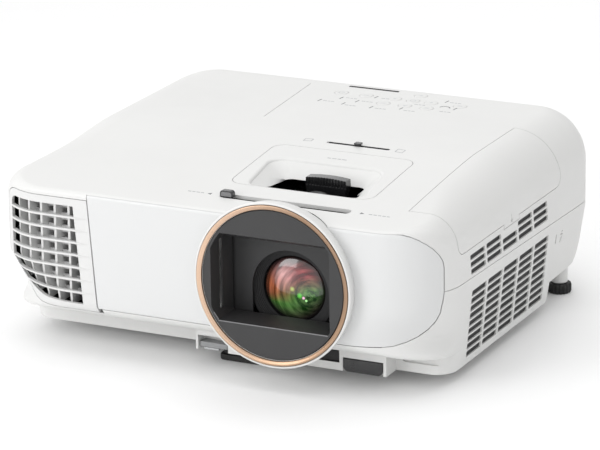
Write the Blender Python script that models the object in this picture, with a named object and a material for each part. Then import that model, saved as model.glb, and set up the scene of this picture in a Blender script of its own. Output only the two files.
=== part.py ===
"""Home projector: case, lens, controls, vents, feet and working insides, in separate pieces.

Every size is in millimetres and is turned into metres where a mesh is made. The origin is the
middle of the footprint on the table, +X is the viewer's right when facing the lens, -Y is the
way the lens looks, and +Z is up.
"""
import math

import bmesh
import bpy
from mathutils import Matrix, Vector

MM = 0.001

# ---- Overall size -------------------------------------------------------------------------
CASE_WIDTH = 309.0
CASE_DEPTH = 276.0
CASE_TOP = 122.0
LENS_RING_PROUD = 9.0
FOOT_HEIGHT = 8.5
WALL = 2.4
SEAM = 0.35
SIDE_X = CASE_WIDTH / 2
REAR_Y = (CASE_DEPTH + LENS_RING_PROUD) / 2
FRONT_Y = REAR_Y - CASE_DEPTH

# ---- Case surface -------------------------------------------------------------------------
FRONT_DROP = 12.5
CREST_Y = 0.0
DROP_CURVE = 1.2
FRONT_CREASE = 3.0
FRONT_SHOULDER = 15.0
SIDE_SHOULDER = 32.0
SHOULDER_RUN = 95.0
REAR_SHOULDER = 24.0
FRONT_CORNER = 40.0
REAR_CORNER = 40.0
BELLY_CORNER = 60.0
PLINTH_CORNER = 14.0
PLINTH_REAR_CORNER = 6.0
BELLY_DEPTH = 40.0
BELLY_HEIGHT = 16.0
BELLY_TOP = 38.0
REAR_TUCK = 8.0
STEP_RISE = 0.8
PLINTH_REAR_Y = 69.0
SIDE_TAPER = 8.5
TAPER_TOP = 61.0
PARTING_Z = 67.0
PARTING_SLOPE = -0.0226
CORNER_STEPS = 5
SIDE_STEPS = 7
BELLY_ANGLES = (25, 45, 62, 76, 90)
SHOULDER_ANGLES = (0, 18, 36, 54, 72, 90)

# ---- Lens front ---------------------------------------------------------------------------
RING_X = 50.1
RING_Z = 69.3
BEZEL_RADIUS = 52.8
TRIM_OUTER = 51.1
TRIM_INNER = 48.2
TRIM_PROUD = 0.7
TRIM_DEPTH = 2.2
HOOD_RADIUS = 47.6
HOOD_SETBACK = 3.0
HOOD_RIM = 1.8
HOOD_LEFT = 8.0
HOOD_RIGHT = 89.0
HOOD_FLOOR_Z = 42.4
HOOD_ROOF_Z = 99.0
HOOD_BACK_LEFT = 12.7
HOOD_BACK_RIGHT = 77.0
HOOD_BACK_ROOF_Z = 88.7
HOOD_DEPTH = 20.7
HOOD_WALL = 3.0
BEZEL_NECK = 1.6
BEZEL_NECK_LENGTH = 8.0
BEZEL_TAPER_LENGTH = 17.0
BEZEL_TAPER = 10.5
BEZEL_WALL = 2.6
ROUND_STEPS = 48
RING_FRONT_Y = FRONT_Y - LENS_RING_PROUD
HOOD_FRONT_Y = RING_FRONT_Y + HOOD_SETBACK
HOOD_BACK_Y = HOOD_FRONT_Y + HOOD_DEPTH

# ---- Lens and its rings -------------------------------------------------------------------
GLASS_RADIUS = 20.8
BARREL_RADIUS = 30.0
BARREL_FLOOR_GAP = 3.6
BARREL_LENGTH = 88.0
SHUTTER_GAP = 0.9
SHUTTER_THICKNESS = 1.6
LENS_SETBACK = 2.8
RING_CLEARANCE = 0.5
RING_THICKNESS = 4.5
FOCUS_RING_SETBACK = 56.0
ADJUST_RING_PITCH = 17.0
ADJUST_RING_LENGTH = 12.0
FOCUS_TAB_WIDTH = 12.0
ZOOM_TAB_WIDTH = 28.0
TAB_THICKNESS = 7.0
TAB_DROP = 1.0
LENS_Z = BELLY_TOP - BELLY_HEIGHT + WALL + BARREL_FLOOR_GAP + BARREL_RADIUS
FOCUS_RING_Y = FRONT_Y + FOCUS_RING_SETBACK
ZOOM_RING_Y = FOCUS_RING_Y + ADJUST_RING_PITCH

# ---- Front panel and exhaust grille --------------------------------------------------------
PANEL_DEPTH = 30.0
PANEL_SIDE_SETBACK = 3.9
PANEL_TOP_Z = 108.6
PANEL_BOTTOM_Z = 34.7
PANEL_TOP_CORNER = 24.0
PANEL_BOTTOM_CORNER = 34.0
GRILLE_SIDE_SETBACK = 9.2
GRILLE_TOP_X = -81.0
GRILLE_BOTTOM_X = -75.5
GRILLE_TOP_Z = 105.0
GRILLE_BOTTOM_Z = 31.5
GRILLE_TOP_CORNER = 10.0
GRILLE_BOTTOM_CORNER = 32.0
GRILLE_BORDER = 5.0
GRILLE_OVERLAP = 3.0
GRILLE_INNER_BORDER = 10.0
BLADE_COUNT = 7
BLADE_THICKNESS = 1.3
RIB_COUNT = 5
RIB_THICKNESS = 1.6
RIB_DEPTH = 13.0
EXHAUST_FAN_SETBACK = 33.0

# ---- Side vents and filter cover -----------------------------------------------------------
VENT_COLUMNS = 5
VENT_BRIDGE = 2.4
VENT_FRONT_Y = -76.0
VENT_REAR_Y = 47.0
VENT_LEAN = 0.16
UPPER_VENT_ROWS = 3
UPPER_VENT_LOW = 70.8
UPPER_VENT_HIGH = 83.4
LOWER_VENT_ROWS = 9
LOWER_VENT_LOW = 13.5
LOWER_VENT_HIGH = 59.5
VENT_BAR = 1.7
COVER_FRONT_Y = -98.0
COVER_REAR_Y = 67.0
COVER_LOW_Z = 88.0
COVER_TOP_WIDTH = 32.5
COVER_CORNER = 8.0
COVER_TAB_FRONT_Y = -27.0
COVER_TAB_REAR_Y = -2.0
COVER_TAB_DROP = 3.0
FILTER_THICKNESS = 8.0

# ---- Top controls --------------------------------------------------------------------------
SHUTTER_SLOT_LEFT = 0.3
SHUTTER_SLOT_RIGHT = 88.8
SHUTTER_SLOT_SETBACK = 23.5
SHUTTER_SLOT_WIDTH = 6.4
SHUTTER_KNOB_WIDTH = 8.8
SHUTTER_KNOB_DEPTH = 4.0
SHUTTER_KNOB_HEIGHT = 4.2
SHUTTER_KNOB_SINK = 0.4
BLADE_OVERLAP = 3.0
WELL_LEFT = -4.6
WELL_RIGHT = 93.0
WELL_SETBACK = 43.5
WELL_LENGTH = 69.0
WELL_CORNER = 8.0
BOWL_MARGIN_X = 13.5
BOWL_MARGIN_FRONT = 5.0
BOWL_MARGIN_REAR = 24.0
BOWL_SLOPE = 15.0
BOWL_DEPTH = 13.0
BOWL_WALL = 1.8
KEYSTONE_LEFT = 24.5
KEYSTONE_RIGHT = 68.6
KEYSTONE_GAP = 12.8
KEYSTONE_SLOT_WIDTH = 2.2
KEYSTONE_KNOB_WIDTH = 4.8
KEYSTONE_KNOB_DEPTH = 4.4
KEYSTONE_KNOB_HEIGHT = 1.6
BUTTON_RADIUS = 4.6
BUTTON_SIDES = 16
BUTTON_PROUD = 0.3
BUTTON_FLANGE = 1.1
BUTTON_FLANGE_DROP = 1.3
BUTTON_HEIGHT = 5.0
PAD_X = 36.0
PAD_INSET = 42.5
PAD_PITCH = 13.0
STATUS_WIDTH = 36.0
STATUS_DEPTH = 2.2
STATUS_X = 0.0
STATUS_INSET = 25.5
SHUTTER_SLOT_Y = FRONT_Y + SHUTTER_SLOT_SETBACK
WELL_FRONT_Y = FRONT_Y + WELL_SETBACK
WELL_REAR_Y = WELL_FRONT_Y + WELL_LENGTH
KEYSTONE_Y = WELL_REAR_Y + KEYSTONE_GAP
PAD_Y = REAR_Y - PAD_INSET
STATUS_Y = REAR_Y - STATUS_INSET

# ---- Feet ----------------------------------------------------------------------------------
FOOT_LEG_WIDTH = 26.0
FOOT_LEG_DEPTH = 12.0
FOOT_LEG_LENGTH = 34.0
FOOT_PAD_WIDTH = 30.0
FOOT_PAD_DEPTH = 15.0
FOOT_PAD_HEIGHT = 4.0
FOOT_X = 6.0
FOOT_SETBACK = 41.5
FOOT_CLEARANCE = 0.5
FOOT_Y = FRONT_Y + FOOT_SETBACK
NOSE_LEFT = -20.0
NOSE_RIGHT = 111.0
NOSE_DEPTH = 15.0
NOSE_TOP_Z = 26.0
LEVER_LENGTH = 20.0
LEVER_THICKNESS = 3.4
LEVER_Z = 10.2
LEVER_REACH = 9.0
IR_WIDTH = 29.0
IR_HEIGHT = 8.5
WHEEL_RADIUS = 8.0
WHEEL_HEIGHT = 6.6
WHEEL_RIBS = 18
WHEEL_RIB_DEPTH = 0.6
REAR_FOOT_INSET_X = 18.0
REAR_FOOT_INSET_Y = 32.0
STEM_RADIUS = 3.0
STEM_LENGTH = 26.0
BOSS_RADIUS = 5.5
SCREW_RADIUS = 3.0
SCREW_HEIGHT = 1.2
SCREW_SINK = 0.1
SCREW_CROSS_REACH = 2.0
SCREW_CROSS_WIDTH = 1.0
SCREW_CROSS_DEPTH = 0.8
SCREW_INSET_X = 30.0

# ---- Rear panel and sockets ----------------------------------------------------------------
PORT_PANEL_WIDTH = 210.0
PORT_PANEL_LOW_Z = 29.0
PORT_PANEL_HIGH_Z = 62.0
PORT_PANEL_RECESS = 2.0
PORT_PANEL_THICKNESS = 2.0
PORT_CLEARANCE = 0.4
INLET_X = -82.0
INLET_WIDTH = 28.0
INLET_HEIGHT = 24.0
INLET_DEPTH = 18.0
HDMI_WIDTH = 17.0
HDMI_HEIGHT = 7.6
HDMI_DEPTH = 12.0
SOCKET_WALL = 1.3
PORT_Z = 40.0
JACK_RADIUS = 2.3

# ---- Insides -------------------------------------------------------------------------------
FAN_SIZE = 60.0
FAN_DEPTH = 20.0
FAN_WALL = 2.0
FAN_HUB_RADIUS = 13.0
FAN_TIP_CLEARANCE = 1.2
FAN_BLADES = 7
PRISM_SIZE = 26.0
PANEL_GLASS_THICKNESS = 2.6
BOARD_THICKNESS = 1.6


# ============================================================================================
# Mesh helpers
# ============================================================================================
def clear_scene():
    for item in list(bpy.data.objects):
        bpy.data.objects.remove(item, do_unlink=True)


def solid(name, points, faces):
    """One object from points in millimetres, with its faces turned outwards."""
    mesh = bpy.data.meshes.new(name)
    mesh.from_pydata([Vector(point) * MM for point in points], [], faces)
    shape = bmesh.new()
    shape.from_mesh(mesh)
    bmesh.ops.recalc_face_normals(shape, faces=shape.faces)
    shape.to_mesh(mesh)
    shape.free()
    item = bpy.data.objects.new(name, mesh)
    bpy.context.scene.collection.objects.link(item)
    return item


def loft(name, rings, cap_pairs=False):
    """Closed solid through rings of equal length; cap_pairs closes the ends side to side."""
    count = len(rings[0])
    points = [point for ring in rings for point in ring]
    faces = []
    for level in range(len(rings) - 1):
        for step in range(count):
            after = (step + 1) % count
            low = level * count
            high = low + count
            faces.append((low + step, low + after, high + after, high + step))
    for start in (0, (len(rings) - 1) * count):
        if cap_pairs:
            for step in range(count // 2 - 1):
                mate = count - 1 - step
                faces.append((start + step, start + step + 1, start + mate - 1, start + mate))
        else:
            faces.append(tuple(range(start, start + count)))
    return solid(name, points, faces)


def place(axis, across, up, along):
    """A point from two section coordinates and one along the axis X, Y or Z."""
    if axis == "X":
        return (along, across, up)
    if axis == "Y":
        return (across, along, up)
    return (across, up, along)


def prism(name, outline, axis, low, high):
    rings = [[place(axis, a, b, end) for a, b in outline] for end in (low, high)]
    return loft(name, rings)


def taper(name, outline_low, outline_high, axis, low, high):
    rings = [[place(axis, a, b, low) for a, b in outline_low]]
    rings.append([place(axis, a, b, high) for a, b in outline_high])
    return loft(name, rings)


def box(name, low, high):
    outline = [(low[0], low[1]), (high[0], low[1]), (high[0], high[1]), (low[0], high[1])]
    return prism(name, outline, "Z", low[2], high[2])


def rectangle(low, high):
    return [(low[0], low[1]), (high[0], low[1]), (high[0], high[1]), (low[0], high[1])]


def rounded(corners, radii, steps=5):
    """A polygon whose corners, listed anticlockwise, are rounded by arcs of their own radii."""
    outline = []
    for index, corner in enumerate(corners):
        here = Vector(corner)
        before = (Vector(corners[index - 1]) - here).normalized()
        after = (Vector(corners[(index + 1) % len(corners)]) - here).normalized()
        radius = radii[index]
        if radius <= 0:
            outline.append(tuple(here))
            continue
        half = before.angle(after) / 2
        centre = here + (before + after).normalized() * (radius / math.sin(half))
        start = here + before * (radius / math.tan(half)) - centre
        sweep = math.pi - 2 * half
        for step in range(steps + 1):
            turn = Matrix.Rotation(sweep * step / steps, 2)
            outline.append(tuple(centre + turn @ start))
    return outline


def rounded_box(name, low, high, radius, axis="Z", steps=4):
    """A box whose four edges along the axis are rounded."""
    order = {"X": (1, 2, 0), "Y": (0, 2, 1), "Z": (0, 1, 2)}[axis]
    outline = rounded(rectangle((low[order[0]], low[order[1]]), (high[order[0]], high[order[1]])),
                      [radius] * 4, steps)
    return prism(name, outline, axis, low[order[2]], high[order[2]])


def circle(centre, radius, steps):
    return [(centre[0] + radius * math.cos(2 * math.pi * step / steps),
             centre[1] + radius * math.sin(2 * math.pi * step / steps)) for step in range(steps)]


def turned(name, profile, axis, centre, steps):
    """A solid of revolution: a closed profile of (radius, along), all radii above zero."""
    points = []
    for radius, along in profile:
        points += [place(axis, a, b, along) for a, b in circle(centre, radius, steps)]
    count = len(profile)
    faces = []
    for level in range(count):
        low = level * steps
        high = ((level + 1) % count) * steps
        for step in range(steps):
            after = (step + 1) % steps
            faces.append((low + step, low + after, high + after, high + step))
    return solid(name, points, faces)


def rod(name, profile, axis, centre, steps):
    """A solid round bar whose profile of (radius, along) has flat ends."""
    rings = [[place(axis, a, b, along) for a, b in circle(centre, radius, steps)]
             for radius, along in profile]
    return loft(name, rings)


def combine(target, tool, operation):
    """Apply one exact Boolean to the target and take the tool away."""
    modifier = target.modifiers.new("combine", "BOOLEAN")
    modifier.operation = operation
    modifier.solver = "EXACT"
    modifier.object = tool
    bpy.context.view_layer.update()
    settled = target.evaluated_get(bpy.context.evaluated_depsgraph_get())
    mesh = bpy.data.meshes.new_from_object(settled)
    target.modifiers.clear()
    target.data = mesh
    bpy.data.objects.remove(tool, do_unlink=True)
    return target


def cut(target, *tools):
    for tool in tools:
        combine(target, tool, "DIFFERENCE")
    return target


def join(target, *tools):
    for tool in tools:
        combine(target, tool, "UNION")
    return target


def keep(target, tool):
    return combine(target, tool, "INTERSECT")


def group(name, items):
    """Several separate closed shapes in one cutter."""
    shape = bmesh.new()
    for item in items:
        shape.from_mesh(item.data)
        bpy.data.objects.remove(item, do_unlink=True)
    mesh = bpy.data.meshes.new(name)
    shape.to_mesh(mesh)
    shape.free()
    holder = bpy.data.objects.new(name, mesh)
    bpy.context.scene.collection.objects.link(holder)
    return holder


def copy_of(item, name):
    twin = bpy.data.objects.new(name, item.data.copy())
    bpy.context.scene.collection.objects.link(twin)
    return twin


def origin_at(item, point):
    """Move an object's origin onto its joint axis without moving its surface."""
    offset = Vector(point) * MM
    item.data.transform(Matrix.Translation(-offset))
    item.location = offset
    return item


def finish(item, colour, roughness, metallic=0.0, alpha=1.0, smooth=True):
    """Give an object its own material and its shading."""
    material = bpy.data.materials.new(item.name + "_finish")
    material.use_nodes = True
    shader = material.node_tree.nodes["Principled BSDF"]
    shader.inputs["Base Color"].default_value = (*colour, 1.0)
    shader.inputs["Roughness"].default_value = roughness
    shader.inputs["Metallic"].default_value = metallic
    shader.inputs["Alpha"].default_value = alpha
    item.data.materials.clear()
    item.data.materials.append(material)
    if smooth:
        item.data.shade_smooth()
        item.data.set_sharp_from_angle(angle=math.radians(35))
    return item


WHITE = (0.86, 0.86, 0.85)
PANEL_WHITE = (0.80, 0.81, 0.81)
COPPER = (0.72, 0.48, 0.34)
CHARCOAL = (0.03, 0.03, 0.033)
BLACK = (0.012, 0.012, 0.013)
GREY = (0.42, 0.43, 0.44)
GLASS = (0.25, 0.22, 0.28)
METAL = (0.62, 0.63, 0.65)
BOARD_GREEN = (0.03, 0.16, 0.08)


# ============================================================================================
# Case surface
# ============================================================================================
def top_z(y):
    """Height of the top surface, which is flat at the back and falls towards the front."""
    run = max(0.0, CREST_Y - y) / (CREST_Y - FRONT_Y)
    return CASE_TOP - FRONT_DROP * run ** DROP_CURVE


def plan_loop(half_width, front, rear, front_radius, rear_radius):
    """Points of a rounded rectangle with their outward normals, right half then left half."""
    right = []
    for step in range(CORNER_STEPS + 1):
        angle = math.radians(-90 + 90 * step / CORNER_STEPS)
        normal = (math.cos(angle), math.sin(angle))
        right.append((half_width - front_radius + front_radius * normal[0],
                      front + front_radius + front_radius * normal[1], normal))
    low = front + front_radius
    high = rear - rear_radius
    for step in range(1, SIDE_STEPS):
        right.append((half_width, low + (high - low) * step / SIDE_STEPS, (1.0, 0.0)))
    for step in range(CORNER_STEPS + 1):
        angle = math.radians(90 * step / CORNER_STEPS)
        normal = (math.cos(angle), math.sin(angle))
        right.append((half_width - rear_radius + rear_radius * normal[0],
                      rear - rear_radius + rear_radius * normal[1], normal))
    left = [(-x, y, (-normal[0], normal[1])) for x, y, normal in reversed(right)]
    return right + left


def shoulder_radius(y, normal):
    """Edge radius of the top: crisp along the front, round at the sides and the back."""
    run = min(1.0, max(0.0, (y - FRONT_Y) / SHOULDER_RUN))
    side = FRONT_SHOULDER + (SIDE_SHOULDER - FRONT_SHOULDER) * run * run * (3 - 2 * run)
    end = FRONT_CREASE if normal[1] < 0 else REAR_SHOULDER
    return side * normal[0] ** 2 + end * normal[1] ** 2


def case_solid(name, inset):
    """The whole case as one solid, its surface moved inwards by the inset."""
    front = FRONT_Y + inset
    rear = REAR_Y - inset
    half = SIDE_X - inset
    belly_low = BELLY_TOP - BELLY_HEIGHT
    taper_span = TAPER_TOP - FOOT_HEIGHT

    def ring(z, set_in, rear_y, front_radius, rear_radius):
        narrow = SIDE_TAPER * max(0.0, TAPER_TOP - z) / taper_span
        loop = plan_loop(half - narrow, front + set_in, rear_y,
                         front_radius - inset, rear_radius - inset)
        return [(x, y, z) for x, y, normal in loop]

    plinth_rear = PLINTH_REAR_Y - inset
    rings = [ring(FOOT_HEIGHT + inset, BELLY_DEPTH, plinth_rear, PLINTH_CORNER,
                  PLINTH_REAR_CORNER)]
    rings.append(ring(belly_low + inset, BELLY_DEPTH, plinth_rear, PLINTH_CORNER,
                      PLINTH_REAR_CORNER))
    rings.append(ring(belly_low + inset + STEP_RISE, BELLY_DEPTH, rear - REAR_TUCK, PLINTH_CORNER,
                      REAR_CORNER))
    for degrees in BELLY_ANGLES:
        angle = math.radians(degrees)
        z = BELLY_TOP - (BELLY_HEIGHT - inset) * math.cos(angle)
        open_out = math.sin(angle)
        radius = PLINTH_CORNER + (BELLY_CORNER - PLINTH_CORNER) * open_out ** 3
        rings.append(ring(z, BELLY_DEPTH * (1 - open_out), rear - REAR_TUCK * (1 - open_out),
                          radius, REAR_CORNER))
    middle = (BELLY_TOP + TAPER_TOP) / 2
    rings.append(ring(middle, 0.0, rear, (BELLY_CORNER + FRONT_CORNER) / 2, REAR_CORNER))
    rings.append(ring(TAPER_TOP, 0.0, rear, FRONT_CORNER, REAR_CORNER))
    loop = plan_loop(half, front, rear, FRONT_CORNER - inset, REAR_CORNER - inset)
    for degrees in SHOULDER_ANGLES:
        angle = math.radians(degrees)
        level = []
        for x, y, normal in loop:
            radius = max(0.4, shoulder_radius(y, normal) - inset)
            move = radius * (1 - math.cos(angle))
            spot_y = y - normal[1] * move
            drop = inset + radius * (1 - math.sin(angle))
            level.append((x - normal[0] * move, spot_y, top_z(spot_y) - drop))
        rings.append(level)
    return loft(name, rings, cap_pairs=True)


def case_shell(name):
    return cut(case_solid(name, 0.0), case_solid("case_room", WALL))


def parting_height(y, shift):
    return PARTING_Z + shift + PARTING_SLOPE * y


def half_space(name, above):
    """Everything above or below the sloping parting line."""
    shift = SEAM / 2 if above else -SEAM / 2
    reach = CASE_WIDTH
    far = CASE_TOP * 2 if above else -CASE_TOP
    ends = ((-reach, parting_height(-reach, shift)), (reach, parting_height(reach, shift)),
            (reach, far), (-reach, far))
    return prism(name, ends, "X", -reach, reach)


def panel_outline(margin):
    """Front view outline of the front panel, grown by the margin."""
    right = SIDE_X - PANEL_SIDE_SETBACK + margin
    top = PANEL_TOP_Z + margin
    low = PANEL_BOTTOM_Z - margin
    lean = (GRILLE_BOTTOM_X - GRILLE_TOP_X) / (GRILLE_TOP_Z - PANEL_BOTTOM_Z)
    corners = [(GRILLE_BOTTOM_X + lean * margin - margin, low), (right, low), (right, top),
               (GRILLE_TOP_X - lean * (PANEL_TOP_Z - GRILLE_TOP_Z + margin) - margin, top)]
    radii = [0, PANEL_BOTTOM_CORNER + margin, PANEL_TOP_CORNER + margin, 0]
    return rounded(corners, radii, steps=8)


def grille_outline(margin, right_border=0.0):
    """Front view outline of the exhaust grille, grown by the margin."""
    left = -SIDE_X + GRILLE_SIDE_SETBACK - margin
    top = GRILLE_TOP_Z + margin
    low = GRILLE_BOTTOM_Z - margin
    shift = SEAM - margin + right_border
    corners = [(left, low), (GRILLE_BOTTOM_X - shift, low), (GRILLE_TOP_X - shift, top),
               (left, top)]
    radii = [GRILLE_BOTTOM_CORNER + margin, 0, 0, GRILLE_TOP_CORNER + margin]
    return rounded(corners, radii, steps=8)


def front_prism(name, outline):
    return prism(name, outline, "Y", FRONT_Y - LENS_RING_PROUD - WALL, FRONT_Y + PANEL_DEPTH)


def bezel_cone(name, margin):
    """The round body behind the lens ring, which narrows as it goes back into the case."""
    neck_y = HOOD_FRONT_Y + BEZEL_NECK_LENGTH
    profile = [(BEZEL_RADIUS + margin, RING_FRONT_Y + TRIM_PROUD - margin),
               (BEZEL_RADIUS + margin, HOOD_FRONT_Y),
               (BEZEL_RADIUS - BEZEL_NECK + margin, neck_y),
               (BEZEL_RADIUS - BEZEL_TAPER + margin, neck_y + BEZEL_TAPER_LENGTH + margin)]
    return rod(name, profile, "Y", (RING_X, RING_Z), ROUND_STEPS)


# ============================================================================================
# Case pieces
# ============================================================================================
def cover_outline(margin):
    """Side view outline of the filter cover with its finger tab, grown by the margin."""
    front = COVER_FRONT_Y - margin
    rear = COVER_REAR_Y + margin
    low = COVER_LOW_Z - margin
    tab_low = low - COVER_TAB_DROP
    tab_front = COVER_TAB_FRONT_Y - margin
    tab_rear = COVER_TAB_REAR_Y + margin
    high = CASE_TOP + WALL
    corners = [(front, low), (tab_front, low), (tab_front, tab_low), (tab_rear, tab_low),
               (tab_rear, low), (rear, low), (rear, high), (front, high)]
    radius = COVER_CORNER + margin
    return rounded(corners, [radius, 0, 0, 0, 0, radius, 0, 0], steps=5)


def cover_prism(name, margin):
    inner = SIDE_X - COVER_TOP_WIDTH - margin
    return prism(name, cover_outline(margin), "X", inner, SIDE_X + WALL)


def vent_cells(name, rows, low, high, skip):
    """Boxes for a block of side slots; skip(row, column) leaves a bridge in their place."""
    cells = []
    pitch_z = (high - low + VENT_BAR) / rows
    pitch_y = (VENT_REAR_Y - VENT_FRONT_Y + VENT_BRIDGE) / VENT_COLUMNS
    for row in range(rows):
        z = low + pitch_z * row
        lean = VENT_LEAN * (LOWER_VENT_HIGH - z)
        for column in range(VENT_COLUMNS):
            if skip(row, column):
                continue
            y = VENT_FRONT_Y + pitch_y * column + lean
            cells.append(box("cell", (SIDE_X - SIDE_TAPER - 2 * WALL - 4, y, z),
                             (SIDE_X + WALL, y + pitch_y - VENT_BRIDGE, z + pitch_z - VENT_BAR)))
    return group(name, cells)


def button_places():
    """Names and plan positions of the top buttons."""
    places = {"button_enter": (PAD_X, PAD_Y)}
    places["button_up"] = (PAD_X, PAD_Y + PAD_PITCH)
    places["button_down"] = (PAD_X, PAD_Y - PAD_PITCH)
    places["button_left"] = (PAD_X - PAD_PITCH, PAD_Y)
    places["button_right"] = (PAD_X + PAD_PITCH, PAD_Y)
    places["button_power"] = (PAD_X - 4 * PAD_PITCH, PAD_Y)
    places["button_source"] = (PAD_X - 2.6 * PAD_PITCH, PAD_Y)
    places["button_menu"] = (PAD_X - 1.2 * PAD_PITCH, PAD_Y - PAD_PITCH)
    places["button_escape"] = (PAD_X + 1.2 * PAD_PITCH, PAD_Y - PAD_PITCH)
    places["button_home"] = (PAD_X + 2.6 * PAD_PITCH, PAD_Y)
    return places


def well_outline(margin):
    low = (WELL_LEFT - margin, WELL_FRONT_Y - margin)
    high = (WELL_RIGHT + margin, WELL_REAR_Y + margin)
    return rounded(rectangle(low, high), [WELL_CORNER + margin] * 4)


def bowl(name, margin, depth):
    """The sloping finger well above the lens rings, wide at the top and narrow below."""
    low = (WELL_LEFT + BOWL_MARGIN_X - margin, WELL_FRONT_Y + BOWL_MARGIN_FRONT - margin)
    high = (WELL_RIGHT - BOWL_MARGIN_X + margin, WELL_REAR_Y - BOWL_MARGIN_REAR + margin)
    floor_low = (low[0] + BOWL_SLOPE, low[1] + BOWL_MARGIN_FRONT / 2)
    floor_high = (high[0] - BOWL_SLOPE / 3, high[1] - BOWL_SLOPE / 3)
    top = rounded(rectangle(low, high), [5] * 4)
    floor = rounded(rectangle(floor_low, floor_high), [3] * 4)
    return taper(name, floor, top, "Z", CASE_TOP - depth, CASE_TOP + WALL)


def shutter_slot(name):
    return box(name, (SHUTTER_SLOT_LEFT, SHUTTER_SLOT_Y - SHUTTER_SLOT_WIDTH / 2, RING_Z),
               (SHUTTER_SLOT_RIGHT, SHUTTER_SLOT_Y + SHUTTER_SLOT_WIDTH / 2, CASE_TOP + WALL))


def keystone_slot(name):
    return box(name, (KEYSTONE_LEFT, KEYSTONE_Y - KEYSTONE_SLOT_WIDTH / 2, CASE_TOP - 3 * WALL),
               (KEYSTONE_RIGHT, KEYSTONE_Y + KEYSTONE_SLOT_WIDTH / 2, CASE_TOP + WALL))


def build_top_case(shell):
    case = keep(copy_of(shell, "top_case"), half_space("upper", True))
    cut(case, front_prism("panel_room", panel_outline(SEAM / 2)))
    cut(case, front_prism("grille_room", grille_outline(SEAM / 2, -GRILLE_OVERLAP)))
    cut(case, bezel_cone("bezel_room", SEAM))
    cut(case, cover_prism("cover_room", SEAM / 2))
    cut(case, prism("well_room", well_outline(SEAM / 2), "Z", CASE_TOP - BOWL_DEPTH * 2,
                    CASE_TOP + WALL))
    cut(case, shutter_slot("slot"))
    cut(case, keystone_slot("slot"))
    low_z = CASE_TOP - 2 * WALL
    holes = [prism("hole", circle(spot, BUTTON_RADIUS + SEAM, BUTTON_SIDES), "Z", low_z, CASE_TOP + WALL)
             for spot in button_places().values()]
    holes.append(box("hole", (STATUS_X - STATUS_WIDTH / 2 - SEAM, STATUS_Y - STATUS_DEPTH / 2 - SEAM,
                              low_z), (STATUS_X + STATUS_WIDTH / 2 + SEAM,
                                       STATUS_Y + STATUS_DEPTH / 2 + SEAM, CASE_TOP + WALL)))
    cut(case, group("holes", holes))
    cut(case, vent_cells("vents", UPPER_VENT_ROWS, UPPER_VENT_LOW, UPPER_VENT_HIGH,
                         lambda row, column: row == UPPER_VENT_ROWS - 1 and column == 2))
    return finish(case, WHITE, 0.42)


def rear_foot_spots():
    """Plan positions of the right and left rear feet."""
    x = SIDE_X - REAR_FOOT_INSET_X
    y = REAR_Y - REAR_FOOT_INSET_Y
    return {"right": (x, y), "left": (-x, y)}


def nose_box(name, margin):
    """The deeper middle of the plinth, which stands forward under the lens."""
    plinth_front = FRONT_Y + BELLY_DEPTH
    return box(name, (NOSE_LEFT + margin, plinth_front - NOSE_DEPTH + margin, FOOT_HEIGHT + margin),
               (NOSE_RIGHT - margin, plinth_front + WALL / 2, NOSE_TOP_Z))


def foot_well(name, margin, low, high):
    half_x = FOOT_LEG_WIDTH / 2 + margin
    half_y = FOOT_LEG_DEPTH / 2 + margin
    return rounded_box(name, (FOOT_X - half_x, FOOT_Y - half_y, low),
                       (FOOT_X + half_x, FOOT_Y + half_y, high), 3 + margin)


def screw_spots():
    """Plan positions of the case screws in the plinth's underside."""
    x = SIDE_X - SCREW_INSET_X
    return {"right": (x, 0.0), "left": (-x, 0.0)}


def screw_top_z():
    return FOOT_HEIGHT + SCREW_SINK + SCREW_HEIGHT


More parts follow.
